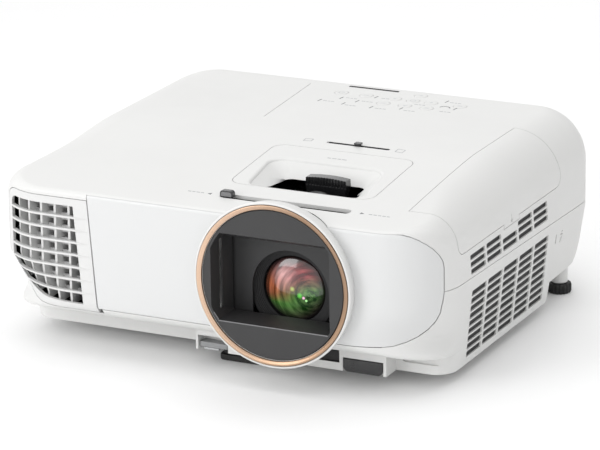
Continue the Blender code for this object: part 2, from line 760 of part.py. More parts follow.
def build_bottom_case(shell):
    case = keep(copy_of(shell, "bottom_case"), half_space("lower", False))
    plinth_front = FRONT_Y + BELLY_DEPTH
    join(case, nose_box("nose", 0.0))
    cut(case, front_prism("panel_room", panel_outline(SEAM / 2)))
    cut(case, front_prism("grille_room", grille_outline(SEAM / 2, -GRILLE_OVERLAP)))
    cut(case, bezel_cone("bezel_room", SEAM))
    belly_low = BELLY_TOP - BELLY_HEIGHT
    for spot in rear_foot_spots().values():
        join(case, rod("boss", [(BOSS_RADIUS, WHEEL_HEIGHT + SEAM), (BOSS_RADIUS, belly_low + 20)],
                       "Z", spot, 24))
        cut(case, rod("bore", [(STEM_RADIUS + SEAM, WHEEL_HEIGHT - 2),
                               (STEM_RADIUS + SEAM, belly_low + 22)], "Z", spot, 16))
    cut(case, foot_well("foot_room", FOOT_CLEARANCE, FOOT_HEIGHT - WALL, NOSE_TOP_Z + WALL))
    lever_x = NOSE_LEFT + 1.5
    cut(case, box("lever_room", (lever_x, plinth_front - NOSE_DEPTH - WALL, FOOT_HEIGHT - WALL),
                  (lever_x + LEVER_LENGTH + 2 * FOOT_CLEARANCE, FOOT_Y - FOOT_LEG_DEPTH / 2 - 2,
                   LEVER_Z + LEVER_THICKNESS + 4.5)))
    ir_low = (NOSE_RIGHT - IR_WIDTH - SEAM, plinth_front - NOSE_DEPTH - WALL, FOOT_HEIGHT - WALL)
    ir_high = (NOSE_RIGHT - 2, plinth_front - NOSE_DEPTH + 3, FOOT_HEIGHT + IR_HEIGHT + SEAM)
    cut(case, box("ir_room", ir_low, ir_high))
    half_panel = PORT_PANEL_WIDTH / 2
    cut(case, box("port_room", (-half_panel, REAR_Y - 2 * REAR_TUCK - WALL, PORT_PANEL_LOW_Z),
                  (half_panel, REAR_Y + WALL, PORT_PANEL_HIGH_Z)))
    cut(case, vent_cells("vents", LOWER_VENT_ROWS, LOWER_VENT_LOW, LOWER_VENT_HIGH,
                         lambda row, column: False))
    pockets = [rod("pocket", [(SCREW_RADIUS + SEAM, FOOT_HEIGHT - WALL),
                              (SCREW_RADIUS + SEAM, screw_top_z() + SEAM)], "Z", spot, 18)
               for spot in screw_spots().values()]
    cut(case, group("pockets", pockets))
    return finish(case, WHITE, 0.42)


def build_front_panel(shell):
    """Front moulding: the panel with the round lens surround that stands out of it."""
    panel = keep(copy_of(shell, "front_panel"), front_prism("outline", panel_outline(-SEAM / 2)))
    cut(panel, bezel_cone("bezel_room", -BEZEL_WALL / 2))
    join(panel, lens_surround("surround"))
    reach = BEZEL_RADIUS + WALL
    cut(panel, tunnel_box("tunnel_room", SEAM + 1))
    shutter_low = (RING_X - reach, HOOD_BACK_Y - SEAM, HOOD_FLOOR_Z - BLADE_OVERLAP - 1.5)
    cut(panel, box("shutter_room", shutter_low, (RING_X + reach, REAR_Y, HOOD_ROOF_Z + 0.5)))
    slot_front = SHUTTER_SLOT_Y - SHUTTER_SLOT_WIDTH / 2 - SEAM
    cut(panel, box("behind_roof", (RING_X - reach, slot_front, RING_Z - reach),
                   (RING_X + reach, REAR_Y, CASE_TOP + reach)))
    return finish(panel, PANEL_WHITE, 0.38)


def build_exhaust_grille(shell):
    """Grille frame whose blades follow the curved front, with upright ribs behind them."""
    grille = keep(copy_of(shell, "exhaust_grille"), front_prism("outline", grille_outline(-SEAM / 2)))
    opening = grille_outline(-GRILLE_BORDER, GRILLE_INNER_BORDER - GRILLE_BORDER)
    low = GRILLE_BOTTOM_Z + GRILLE_BORDER
    high = GRILLE_TOP_Z - GRILLE_BORDER
    pitch = (high - low + BLADE_THICKNESS) / (BLADE_COUNT + 1)
    left = -SIDE_X - WALL
    bars = []
    for index in range(1, BLADE_COUNT + 1):
        z = low + pitch * index - BLADE_THICKNESS
        bars.append(box("bar", (left, FRONT_Y - PANEL_DEPTH, z),
                        (GRILLE_BOTTOM_X, FRONT_Y + 2 * PANEL_DEPTH, z + BLADE_THICKNESS)))
    cells = cut(front_prism("cells", opening), group("bars", bars))
    cut(grille, cells)
    opening_left = -SIDE_X + GRILLE_SIDE_SETBACK + GRILLE_BORDER
    opening_right = GRILLE_TOP_X - GRILLE_INNER_BORDER
    span = opening_right - opening_left
    ribs = []
    for index in range(RIB_COUNT):
        x = opening_left + span * (index + 0.5) / RIB_COUNT
        ribs.append(box("rib", (x - RIB_THICKNESS / 2, FRONT_Y, GRILLE_BOTTOM_Z + 1.5),
                        (x + RIB_THICKNESS / 2, FRONT_Y + WALL + RIB_DEPTH, GRILLE_TOP_Z - 1.5)))
    ribs = keep(group("ribs", ribs), case_solid("rib_room", WALL - 0.9))
    keep(ribs, front_prism("rib_outline", grille_outline(-GRILLE_BORDER / 2)))
    join(grille, ribs)
    return finish(grille, PANEL_WHITE, 0.4)


def build_side_cover(shell):
    cover = keep(copy_of(shell, "side_cover"), cover_prism("outline", -SEAM / 2))
    return origin_at(finish(cover, WHITE, 0.42), cover_hinge())


def cover_hinge():
    """A point on the cover's hinge line, at the cover's upper edge."""
    return (SIDE_X - COVER_TOP_WIDTH, 0.0, CASE_TOP)


def build_rear_panel():
    inset = PORT_PANEL_WIDTH / 2 - SEAM
    front = REAR_Y - PORT_PANEL_RECESS - PORT_PANEL_THICKNESS
    panel = box("rear_panel", (-inset, front, PORT_PANEL_LOW_Z + SEAM),
                (inset, front + PORT_PANEL_THICKNESS, PORT_PANEL_HIGH_Z - SEAM))
    for low, high in port_boxes().values():
        room = [value - PORT_CLEARANCE for value in low]
        far = [value + PORT_CLEARANCE for value in high]
        cut(panel, box("port_hole", (room[0], front - WALL, room[2]),
                       (far[0], REAR_Y + WALL, far[2])))
    return finish(panel, (0.75, 0.76, 0.76), 0.5)


# ============================================================================================
# Lens front
# ============================================================================================
def lens_surround(name):
    """Hollow cone round the hood, with a seat for the trim ring at its front."""
    inner = HOOD_RADIUS + SEAM
    front = RING_FRONT_Y + TRIM_PROUD
    neck_y = HOOD_FRONT_Y + BEZEL_NECK_LENGTH
    back_y = neck_y + BEZEL_TAPER_LENGTH
    back_radius = BEZEL_RADIUS - BEZEL_TAPER
    trim_outer = TRIM_OUTER + SEAM
    trim_back = RING_FRONT_Y + TRIM_DEPTH + SEAM
    profile = [(BEZEL_RADIUS, front), (BEZEL_RADIUS, HOOD_FRONT_Y),
               (BEZEL_RADIUS - BEZEL_NECK, neck_y), (back_radius, back_y),
               (back_radius - BEZEL_WALL, back_y), (inner, neck_y), (inner, trim_back),
               (trim_outer, trim_back), (trim_outer, front)]
    return turned(name, profile, "Y", (RING_X, RING_Z), ROUND_STEPS)


def build_trim_ring():
    profile = [(TRIM_OUTER, RING_FRONT_Y), (TRIM_INNER + 0.9, RING_FRONT_Y),
               (TRIM_INNER, RING_FRONT_Y + 0.9), (TRIM_INNER, RING_FRONT_Y + TRIM_DEPTH),
               (TRIM_OUTER, RING_FRONT_Y + TRIM_DEPTH)]
    ring = turned("trim_ring", profile, "Y", (RING_X, RING_Z), ROUND_STEPS)
    return finish(ring, COPPER, 0.28, metallic=0.9)


def tunnel_box(name, margin):
    """Outer box of the light tunnel behind the hood's round plate, grown by the margin."""
    low_x = HOOD_BACK_LEFT - HOOD_WALL + 0.5 - margin
    high_x = HOOD_BACK_RIGHT + 2 * HOOD_WALL + margin
    front = HOOD_FRONT_Y + BEZEL_NECK_LENGTH - HOOD_RIM - margin
    return box(name, (low_x, front, HOOD_FLOOR_Z - HOOD_WALL - margin),
               (high_x, HOOD_BACK_Y, HOOD_BACK_ROOF_Z + 2 * HOOD_WALL + margin))


def build_lens_hood():
    """Dark hood: a round plate that funnels back to a rectangular light tunnel."""
    plate_back = HOOD_FRONT_Y + BEZEL_NECK_LENGTH - SEAM
    hood = rod("lens_hood", [(HOOD_RADIUS, HOOD_FRONT_Y), (HOOD_RADIUS, plate_back)],
               "Y", (RING_X, RING_Z), ROUND_STEPS)
    join(hood, tunnel_box("tunnel", 0.0))
    spread = 1.0
    front = rectangle((HOOD_LEFT, HOOD_FLOOR_Z), (HOOD_RIGHT, HOOD_ROOF_Z))
    back = rectangle((HOOD_BACK_LEFT, HOOD_FLOOR_Z), (HOOD_BACK_RIGHT, HOOD_BACK_ROOF_Z))
    funnel = taper("funnel", front, back, "Y", HOOD_FRONT_Y - spread, HOOD_BACK_Y + spread)
    rim = HOOD_RADIUS - HOOD_RIM
    keep(funnel, rod("rim", [(rim, HOOD_FRONT_Y - WALL), (rim, HOOD_BACK_Y + WALL)], "Y",
                     (RING_X, RING_Z), ROUND_STEPS))
    cut(hood, funnel)
    return finish(hood, CHARCOAL, 0.5)


def shutter_travel():
    """How far the lens shutter slides: its knob runs from one end of the slot to the other."""
    return SHUTTER_SLOT_RIGHT - SHUTTER_SLOT_LEFT - SHUTTER_KNOB_WIDTH - 2 * SEAM


def shutter_front_y():
    return HOOD_BACK_Y + SHUTTER_GAP


def build_lens_shutter():
    """Sliding lens cover that waits to the left of the light tunnel, with its arm."""
    front = shutter_front_y()
    left = HOOD_BACK_LEFT - BLADE_OVERLAP - shutter_travel()
    right = HOOD_BACK_RIGHT + BLADE_OVERLAP - shutter_travel()
    low = HOOD_FLOOR_Z - BLADE_OVERLAP
    high = HOOD_BACK_ROOF_Z + BLADE_OVERLAP
    shutter = rounded_box("lens_shutter", (left, front, low), (right, front + SHUTTER_THICKNESS, high),
                          3.0, axis="Y")
    knob_x = SHUTTER_SLOT_LEFT + SEAM + SHUTTER_KNOB_WIDTH / 2
    arm_half = SHUTTER_KNOB_WIDTH / 2 - 2
    back = SHUTTER_SLOT_Y + SHUTTER_SLOT_WIDTH / 2 - 0.6
    shelf_x = min(right - 4, knob_x - arm_half)
    join(shutter, box("shelf", (shelf_x, front + 0.3, high - 3), (knob_x + arm_half, back, high - 0.2)))
    arm_front = SHUTTER_SLOT_Y - SHUTTER_SLOT_WIDTH / 2 + 0.6
    join(shutter, box("arm", (knob_x - arm_half, arm_front, high - 2.5),
                      (knob_x + arm_half, back, top_z(SHUTTER_SLOT_Y) - SHUTTER_KNOB_SINK - SEAM)))
    finish(shutter, CHARCOAL, 0.55)
    return origin_at(shutter, (knob_x, SHUTTER_SLOT_Y, top_z(SHUTTER_SLOT_Y)))


def build_shutter_knob():
    knob_x = SHUTTER_SLOT_LEFT + SEAM + SHUTTER_KNOB_WIDTH / 2
    low_z = top_z(SHUTTER_SLOT_Y) - SHUTTER_KNOB_SINK
    half = SHUTTER_KNOB_WIDTH / 2
    front = SHUTTER_SLOT_Y - SHUTTER_KNOB_DEPTH / 2
    outline = rounded(rectangle((knob_x - half, low_z), (knob_x + half, low_z + SHUTTER_KNOB_HEIGHT)),
                      [0.4, 0.4, 1.6, 1.6], steps=4)
    knob = prism("shutter_knob", outline, "Y", front, front + SHUTTER_KNOB_DEPTH)
    finish(knob, BLACK, 0.3)
    return origin_at(knob, (knob_x, SHUTTER_SLOT_Y, low_z))


def lens_front_y():
    return shutter_front_y() + SHUTTER_THICKNESS + LENS_SETBACK


def build_lens_barrel():
    """Fixed lens barrel with a stepped black mouth around the front glass."""
    front = lens_front_y()
    back = front + BARREL_LENGTH
    mouth = GLASS_RADIUS + 3.2
    body = BARREL_RADIUS - RING_CLEARANCE
    profile = [(body, front + 1.2), (body - 1.2, front), (mouth, front),
               (GLASS_RADIUS + 0.4, front + 3), (GLASS_RADIUS + 0.4, front + 12),
               (GLASS_RADIUS - 3, front + 12), (GLASS_RADIUS - 3, back), (body, back)]
    barrel = turned("lens_barrel", profile, "Y", (RING_X, LENS_Z), 32)
    return finish(barrel, BLACK, 0.35)


def build_front_lens():
    """Front glass, domed on the outside and hollowed a little behind."""
    edge = lens_front_y() + 5.5
    rise = 4.5
    rings = []
    for degrees in (8, 36, 64, 90):
        angle = math.radians(degrees)
        rings.append((GLASS_RADIUS * math.sin(angle), edge - rise * math.cos(angle)))
    rings += [(GLASS_RADIUS, edge + 4), (GLASS_RADIUS * 0.6, edge + 3.2), (2.0, edge + 3)]
    lens = rod("front_lens", rings, "Y", (RING_X, LENS_Z), 32)
    return finish(lens, GLASS, 0.04, alpha=0.6)


def build_adjust_ring(name, ring_y, tab_width, tab_drop, tooth_count):
    """A turning ring round the barrel with a ribbed tab that stands up into the finger well."""
    inner = BARREL_RADIUS + RING_CLEARANCE / 2
    outer = inner + RING_THICKNESS
    front = ring_y - ADJUST_RING_LENGTH / 2
    back = ring_y + ADJUST_RING_LENGTH / 2
    ring = turned(name, [(inner, front), (outer, front), (outer, back), (inner, back)], "Y",
                  (RING_X, LENS_Z), 40)
    tip = top_z(ring_y) - tab_drop
    half = tab_width / 2
    outline = [(RING_X - half * 0.7, LENS_Z + outer - 2.5), (RING_X + half * 0.7, LENS_Z + outer - 2.5)]
    outline.append((RING_X + half, tip - 6))
    for step in range(tooth_count, -1, -1):
        across = RING_X - half + tab_width * step / tooth_count
        outline.append((across, tip))
        if step:
            outline.append((across - tab_width / tooth_count / 2, tip - 0.8))
    outline.append((RING_X - half, tip - 6))
    join(ring, prism("tab", outline, "Y", ring_y - TAB_THICKNESS / 2, ring_y + TAB_THICKNESS / 2))
    finish(ring, BLACK, 0.35)
    return origin_at(ring, (RING_X, ring_y, LENS_Z))


def build_adjuster_bezel(shell):
    """Flush plate round the finger well, with the well's sloping walls and its window."""
    plate = keep(copy_of(shell, "adjuster_bezel"), prism("outline", well_outline(-SEAM / 2), "Z",
                                                         CASE_TOP - BOWL_DEPTH - 20, CASE_TOP + WALL))
    walls = keep(bowl("walls", BOWL_WALL, BOWL_DEPTH), case_solid("under_top", 0.8))
    join(plate, walls)
    cut(plate, bowl("hollow", 0.0, BOWL_DEPTH + 1))
    return finish(plate, WHITE, 0.42)


# ============================================================================================
# Controls on top
# ============================================================================================
def build_button(name, spot):
    high = CASE_TOP + BUTTON_PROUD
    flange_z = CASE_TOP - WALL - BUTTON_FLANGE_DROP
    profile = [(BUTTON_RADIUS - 0.5, high), (BUTTON_RADIUS, high - 0.5), (BUTTON_RADIUS, flange_z),
               (BUTTON_RADIUS + BUTTON_FLANGE, flange_z),
               (BUTTON_RADIUS + BUTTON_FLANGE, high - BUTTON_HEIGHT)]
    button = rod(name, profile, "Z", spot, BUTTON_SIDES)
    finish(button, (0.82, 0.82, 0.81), 0.4)
    return origin_at(button, (spot[0], spot[1], high))


def build_keystone_knob():
    """Small slider with a neck through its slot and a foot that holds it in."""
    x = (KEYSTONE_LEFT + KEYSTONE_RIGHT) / 2
    surface = top_z(KEYSTONE_Y)
    neck = KEYSTONE_SLOT_WIDTH / 2 - 0.4
    half_x = KEYSTONE_KNOB_WIDTH / 2
    half_y = KEYSTONE_KNOB_DEPTH / 2
    top = surface + 0.5
    knob = rounded_box("keystone_knob", (x - half_x, KEYSTONE_Y - half_y, top),
                       (x + half_x, KEYSTONE_Y + half_y, top + KEYSTONE_KNOB_HEIGHT), 1.0)
    join(knob, box("neck", (x - half_x + 1, KEYSTONE_Y - neck, surface - WALL - 2.5),
                   (x + half_x - 1, KEYSTONE_Y + neck, top + 0.5)))
    join(knob, box("foot", (x - half_x, KEYSTONE_Y - half_y, surface - WALL - 3),
                   (x + half_x, KEYSTONE_Y + half_y, surface - WALL - 1.2)))
    finish(knob, BLACK, 0.35)
    return origin_at(knob, (x, KEYSTONE_Y, surface))


def build_status_window():
    window = rounded_box("status_window",
                         (STATUS_X - STATUS_WIDTH / 2, STATUS_Y - STATUS_DEPTH / 2, CASE_TOP - WALL),
                         (STATUS_X + STATUS_WIDTH / 2, STATUS_Y + STATUS_DEPTH / 2, CASE_TOP + 0.1), 0.8)
    return finish(window, CHARCOAL, 0.2)


# ============================================================================================
# Feet
# ============================================================================================
def build_front_foot():
    """Pull-down leg that slides in the plinth, and its rubber pad."""
    leg = foot_well("front_foot_leg", 0.0, FOOT_PAD_HEIGHT + SEAM, FOOT_PAD_HEIGHT + FOOT_LEG_LENGTH)
    for step in range(6):
        z = FOOT_HEIGHT + 4 + 4 * step
        back = FOOT_Y + FOOT_LEG_DEPTH / 2
        cut(leg, box("notch", (FOOT_X - 4, back - 0.8, z), (FOOT_X + 4, back + 1, z + 2)))
    finish(leg, CHARCOAL, 0.5)
    origin_at(leg, (FOOT_X, FOOT_Y, FOOT_HEIGHT))
    half_x = FOOT_PAD_WIDTH / 2
    half_y = FOOT_PAD_DEPTH / 2
    bottom = rounded(rectangle((FOOT_X - half_x + 0.8, FOOT_Y - half_y + 0.8),
                               (FOOT_X + half_x - 0.8, FOOT_Y + half_y - 0.8)), [3.2] * 4)
    top = rounded(rectangle((FOOT_X - half_x, FOOT_Y - half_y), (FOOT_X + half_x, FOOT_Y + half_y)),
                  [4] * 4)
    rings = [[(x, y, 0.0) for x, y in bottom], [(x, y, 0.8) for x, y in top],
             [(x, y, FOOT_PAD_HEIGHT) for x, y in top]]
    pad = loft("front_foot_pad", rings)
    finish(pad, BLACK, 0.8)
    return origin_at(pad, (FOOT_X, FOOT_Y, 0.0))


def build_release_lever():
    """Finger plate in the plinth's left end that frees the front leg when squeezed up."""
    front = FRONT_Y + BELLY_DEPTH - NOSE_DEPTH + 1.0
    left = NOSE_LEFT + 1.5 + FOOT_CLEARANCE
    lever = rounded_box("foot_release_lever", (left, front, LEVER_Z),
                        (left + LEVER_LENGTH - FOOT_CLEARANCE, front + LEVER_REACH - 2.5,
                         LEVER_Z + LEVER_THICKNESS), 1.2)
    join(lever, box("lip", (left + 3, front, LEVER_Z - 1.4), (left + LEVER_LENGTH - 6, front + 2.2,
                                                              LEVER_Z + 0.5)))
    finish(lever, GREY, 0.4)
    return origin_at(lever, (left + LEVER_LENGTH / 2, front, LEVER_Z))


def build_ir_window():
    """Dark remote-receiver window in the right end of the plinth's nose."""
    front = FRONT_Y + BELLY_DEPTH - NOSE_DEPTH
    outline = rounded(rectangle((NOSE_RIGHT - IR_WIDTH, FOOT_HEIGHT), (NOSE_RIGHT - 2 - SEAM,
                                                                       FOOT_HEIGHT + IR_HEIGHT)),
                      [3.0, 3.0, 0.6, 0.6])
    window = prism("ir_window", outline, "Y", front - 0.6, front + 3 - SEAM)
    return finish(window, BLACK, 0.15)


def build_rear_foot(side, spot):
    """Screw-in rear foot: a ribbed wheel on a threaded stem."""
    stem = rod("rear_foot_stem_" + side,
               [(STEM_RADIUS, WHEEL_HEIGHT - 4), (STEM_RADIUS, WHEEL_HEIGHT + STEM_LENGTH - 1),
                (STEM_RADIUS - 0.8, WHEEL_HEIGHT + STEM_LENGTH)], "Z", spot, 16)
    finish(stem, METAL, 0.35, metallic=0.9)
    origin_at(stem, (*spot, WHEEL_HEIGHT))
    ribbed = []
    count = WHEEL_RIBS * 2
    for step in range(count):
        radius = WHEEL_RADIUS - (WHEEL_RIB_DEPTH if step % 2 else 0.0)
        angle = 2 * math.pi * step / count
        ribbed.append((radius * math.cos(angle), radius * math.sin(angle)))
    rings = []
    for share, z in ((0.9, 0.0), (1.0, 1.2), (1.0, WHEEL_HEIGHT - 1.2), (0.9, WHEEL_HEIGHT)):
        rings.append([(spot[0] + x * share, spot[1] + y * share, z) for x, y in ribbed])
    wheel = loft("rear_foot_wheel_" + side, rings)
    cut(wheel, rod("socket", [(STEM_RADIUS + SEAM, WHEEL_HEIGHT - 4 - SEAM),
                              (STEM_RADIUS + SEAM, WHEEL_HEIGHT + 1)], "Z", spot, 16))
    finish(wheel, BLACK, 0.7)
    return origin_at(wheel, (*spot, 0.0))


# ============================================================================================
# Rear sockets
# ============================================================================================
def port_boxes():
    """Outer boxes of the sockets, which stand in the rear panel."""
    back = REAR_Y - PORT_PANEL_RECESS + 0.3
    low_z = PORT_Z
    sockets = {}
    inlet_z = (PORT_PANEL_LOW_Z + PORT_PANEL_HIGH_Z - INLET_HEIGHT) / 2
    sockets["power_inlet"] = ((INLET_X - INLET_WIDTH / 2, back - INLET_DEPTH, inlet_z),
                              (INLET_X + INLET_WIDTH / 2, back, inlet_z + INLET_HEIGHT))
    for name, x in (("hdmi_port_one", 6.0), ("hdmi_port_two", 28.0)):
        sockets[name] = ((x, back - HDMI_DEPTH, low_z), (x + HDMI_WIDTH, back, low_z + HDMI_HEIGHT))
    sockets["usb_port"] = ((50.0, back - 14, low_z), (65.0, back, low_z + 8.0))
    sockets["vga_port"] = ((-36.0, back - 8, low_z - 1), (-5.0, back, low_z + 11.5))
    sockets["audio_port"] = ((72.0, back - 12, low_z - 1), (92.0, back, low_z + 10.0))
    return sockets


def socket_shell(name, low, high, wall):
    shell = rounded_box(name, low, high, 1.0, axis="Y", steps=3)
    mouth = rounded_box("mouth", (low[0] + wall, low[1] + wall, low[2] + wall),
                        (high[0] - wall, high[1] + wall, high[2] - wall), 0.8, axis="Y", steps=3)
    return cut(shell, mouth)


def build_ports():
    ports = port_boxes()
    low, high = ports["power_inlet"]
    inlet = socket_shell("power_inlet", low, high, 2.4)
    for offset in (-6.5, 0.0, 6.5):
        x = INLET_X + offset
        z = (low[2] + high[2]) / 2 + (2.5 if offset == 0 else -2.0)
        join(inlet, box("pin", (x - 1, low[1] + 1, z - 2), (x + 1, high[1] - 4, z + 2)))
    finish(inlet, BLACK, 0.5)
    for name in ("hdmi_port_one", "hdmi_port_two"):
        low, high = ports[name]
        port = socket_shell(name, low, high, SOCKET_WALL)
        finish(port, METAL, 0.35, metallic=0.8)
    low, high = ports["usb_port"]
    usb = socket_shell("usb_port", low, high, SOCKET_WALL)
    middle = (low[2] + high[2]) / 2
    join(usb, box("tongue", (low[0] + 2, low[1] + 0.5, middle + 0.2),
                  (high[0] - 2, high[1] - 1.5, middle + 1.9)))
    finish(usb, METAL, 0.35, metallic=0.8)
    low, high = ports["vga_port"]
    vga = box("vga_port", low, high)
    inner = rounded([(low[0] + 7, low[2] + 2.2), (high[0] - 7, low[2] + 2.2),
                     (high[0] - 6, high[2] - 2.2), (low[0] + 6, high[2] - 2.2)], [1.5] * 4, 3)
    cut(vga, prism("mouth", inner, "Y", high[1] - 5, high[1] + 1))
    finish(vga, (0.03, 0.05, 0.3), 0.45)
    low, high = ports["audio_port"]
    audio = box("audio_port", low, high)
    for share in (0.27, 0.73):
        centre = (low[0] + (high[0] - low[0]) * share, (low[2] + high[2]) / 2)
        cut(audio, prism("jack", circle(centre, JACK_RADIUS, 12), "Y", high[1] - 9, high[1] + 1))
    finish(audio, BLACK, 0.45)


# ============================================================================================
# Insides
# ============================================================================================
def build_fan(name, axis, centre, front):
    """A square fan frame and its rotor; the centre is across the axis, the front along it."""
    half = FAN_SIZE / 2
    back = front + FAN_DEPTH
    outline = rounded(rectangle((centre[0] - half, centre[1] - half), (centre[0] + half,
                                                                       centre[1] + half)), [4] * 4, 3)
    frame = prism(name + "_frame", outline, axis, front, back)
    bore = half - FAN_WALL
    cut(frame, prism("bore", circle(centre, bore, 32), axis, front + 2.0, back + 1))
    mouth = turned("mouth", [(bore - 3, front - 1), (bore - 3, front + 3),
                             (FAN_HUB_RADIUS, front + 3), (FAN_HUB_RADIUS, front - 1)],
                   axis, centre, 32)
    for turn in range(4):
        angle = math.radians(45 + 90 * turn)
        reach = half * 1.5
        across = (math.cos(angle) * reach, math.sin(angle) * reach)
        side = (-math.sin(angle) * 1.6, math.cos(angle) * 1.6)
        spoke = [(centre[0] + side[0], centre[1] + side[1]),
                 (centre[0] - side[0], centre[1] - side[1]),
                 (centre[0] + across[0] - side[0], centre[1] + across[1] - side[1]),
                 (centre[0] + across[0] + side[0], centre[1] + across[1] + side[1])]
        cut(mouth, prism("spoke", spoke, axis, front - 2, front + 4))
    cut(frame, mouth)
    finish(frame, BLACK, 0.55)
    rotor = rod(name + "_rotor", [(FAN_HUB_RADIUS, front + 2.6), (FAN_HUB_RADIUS, back - 1.5)],
                axis, centre, 24)
    tip = bore - FAN_TIP_CLEARANCE
    for index in range(FAN_BLADES):
        start = 2 * math.pi * index / FAN_BLADES
        rings = []
        for along, twist in ((front + 4.0, 0.0), (back - 2.5, 0.55)):
            low_angle = start + twist
            root = [(centre[0] + (FAN_HUB_RADIUS - 1.5) * math.cos(low_angle + shift),
                     centre[1] + (FAN_HUB_RADIUS - 1.5) * math.sin(low_angle + shift))
                    for shift in (0.0, 0.12)]
            outer = [(centre[0] + tip * math.cos(low_angle + shift),
                      centre[1] + tip * math.sin(low_angle + shift)) for shift in (0.06, 0.0)]
            rings.append([place(axis, a, b, along) for a, b in root + outer])
        join(rotor, loft("blade", rings))
    finish(rotor, CHARCOAL, 0.5)
    middle = place(axis, centre[0], centre[1], (front + back) / 2)
    return origin_at(rotor, middle)


def fan_places():
    """Axis, centre and front of each fan: one blows out of the grille, one draws in at the side."""
    inner = SIDE_X - WALL - REAR_FOOT_INSET_X / 2
    exhaust = ("Y", (GRILLE_BOTTOM_X - FAN_SIZE / 2 + 2, (GRILLE_TOP_Z + GRILLE_BOTTOM_Z) / 2),
               FRONT_Y + EXHAUST_FAN_SETBACK)
    intake = ("X", ((VENT_FRONT_Y + VENT_REAR_Y) / 2, (COVER_LOW_Z + FOOT_HEIGHT) / 2 + 8),
              inner - FILTER_THICKNESS - FAN_DEPTH - 6)
    return {"exhaust_fan": exhaust, "intake_fan": intake}


def build_air_filter():
    """Pleated filter pad behind the side slots."""
    right = SIDE_X - SIDE_TAPER - 2 * WALL - 2
    left = right - FILTER_THICKNESS
    front = VENT_FRONT_Y + 4
    rear = VENT_REAR_Y + 6
    count = 16
    pitch = (rear - front) / count
    outline = [(left, front), (right, front)]
    for step in range(count):
        outline.append((right - 3, front + pitch * (step + 0.5)))
        outline.append((right, front + pitch * (step + 1)))
    outline.append((left, rear))
    pad = prism("air_filter", outline, "Z", FOOT_HEIGHT + WALL + 3, COVER_LOW_Z - 7)
    return finish(pad, (0.10, 0.10, 0.11), 0.95, smooth=False)


def build_optics():
    """Light engine: a cast base, a prism cube, three panels round it and the lamp."""
    centre_y = lens_front_y() + BARREL_LENGTH + PRISM_SIZE / 2 + PANEL_GLASS_THICKNESS + 3
    half = PRISM_SIZE / 2
    floor = FOOT_HEIGHT + WALL + 3
    deck = LENS_Z - BARREL_RADIUS - 1.0
    base = box("optics_base", (RING_X - 46, centre_y - half - 8, floor),
               (RING_X + 46, PLINTH_REAR_Y - WALL - 8, deck))
    join(base, box("pedestal", (RING_X - half + 1, centre_y - half + 1, deck - 2),
                   (RING_X + half - 1, centre_y + half - 1, LENS_Z - half - SEAM)))
    finish(base, METAL, 0.5, metallic=0.6)
    prism_cube = box("prism_cube", (RING_X - half, centre_y - half, LENS_Z - half),
                     (RING_X + half, centre_y + half, LENS_Z + half))
    finish(prism_cube, GLASS, 0.05, alpha=0.5)
    gap = 1.5
    thin = PANEL_GLASS_THICKNESS
    low = deck + SEAM
    high = LENS_Z + half + 4
    near = RING_X - half - gap
    far = RING_X + half + gap
    rear = centre_y + half + gap
    panels = {"lcd_panel_red": ((near - thin, centre_y - half, low), (near, centre_y + half, high)),
              "lcd_panel_blue": ((far, centre_y - half, low), (far + thin, centre_y + half, high)),
              "lcd_panel_green": ((RING_X - half, rear, low), (RING_X + half, rear + thin, high))}
    for name, (corner, far_corner) in panels.items():
        finish(box(name, corner, far_corner), CHARCOAL, 0.25)
    lamp_x = RING_X - 46 - 8
    lamp_y = centre_y + half
    case = rounded_box("lamp_housing", (lamp_x - 52, lamp_y - 24, LENS_Z - 26),
                       (lamp_x, lamp_y + 24, LENS_Z + 26), 5)
    cut(case, rod("beam", [(20.0, lamp_x - 46), (21.5, lamp_x + 2)], "X", (lamp_y, LENS_Z), 28))
    finish(case, GREY, 0.6)
    reflector = turned("lamp_reflector", [(4.0, lamp_x - 44), (12.0, lamp_x - 34), (17.0, lamp_x - 20),
                                          (18.6, lamp_x - 4), (17.4, lamp_x - 4), (15.8, lamp_x - 20),
                                          (10.8, lamp_x - 33), (2.6, lamp_x - 43)],
                       "X", (lamp_y, LENS_Z), 28)
    finish(reflector, METAL, 0.1, metallic=1.0)


def build_boards():
    """Main board behind the rear panel and the power board on the left of the plinth."""
    floor = BELLY_TOP - BELLY_HEIGHT + WALL + 2
    main = box("main_board", (-PORT_PANEL_WIDTH / 2 + 10, PLINTH_REAR_Y + 22, floor),
               (PORT_PANEL_WIDTH / 2 - 10, REAR_Y - INLET_DEPTH - 14, floor + BOARD_THICKNESS))
    deck = floor + BOARD_THICKNESS - 0.5
    y = PLINTH_REAR_Y + 26
    for x, width, height in ((-70, 24, 5), (-20, 16, 3), (20, 18, 9), (62, 12, 4)):
        join(main, box("chip", (x, y, deck), (x + width, y + 12, deck + height)))
    finish(main, BOARD_GREEN, 0.5, smooth=False)
    low = FOOT_HEIGHT + WALL + 4
    left = -SIDE_X + SIDE_TAPER + WALL + 8
    power = box("power_board", (left, -60, low), (left + 70, PLINTH_REAR_Y - WALL - 6,
                                                  low + BOARD_THICKNESS))
    deck = low + BOARD_THICKNESS - 0.5
    for x, y, wide, deep, tall in ((8, -48, 22, 24, 24), (40, -46, 20, 18, 16), (10, -10, 18, 18, 30),
                                   (40, -12, 22, 30, 20), (10, 26, 30, 16, 12)):
        join(power, box("block", (left + x, y, deck), (left + x + wide, y + deep, deck + tall)))
    finish(power, BOARD_GREEN, 0.55, smooth=False)


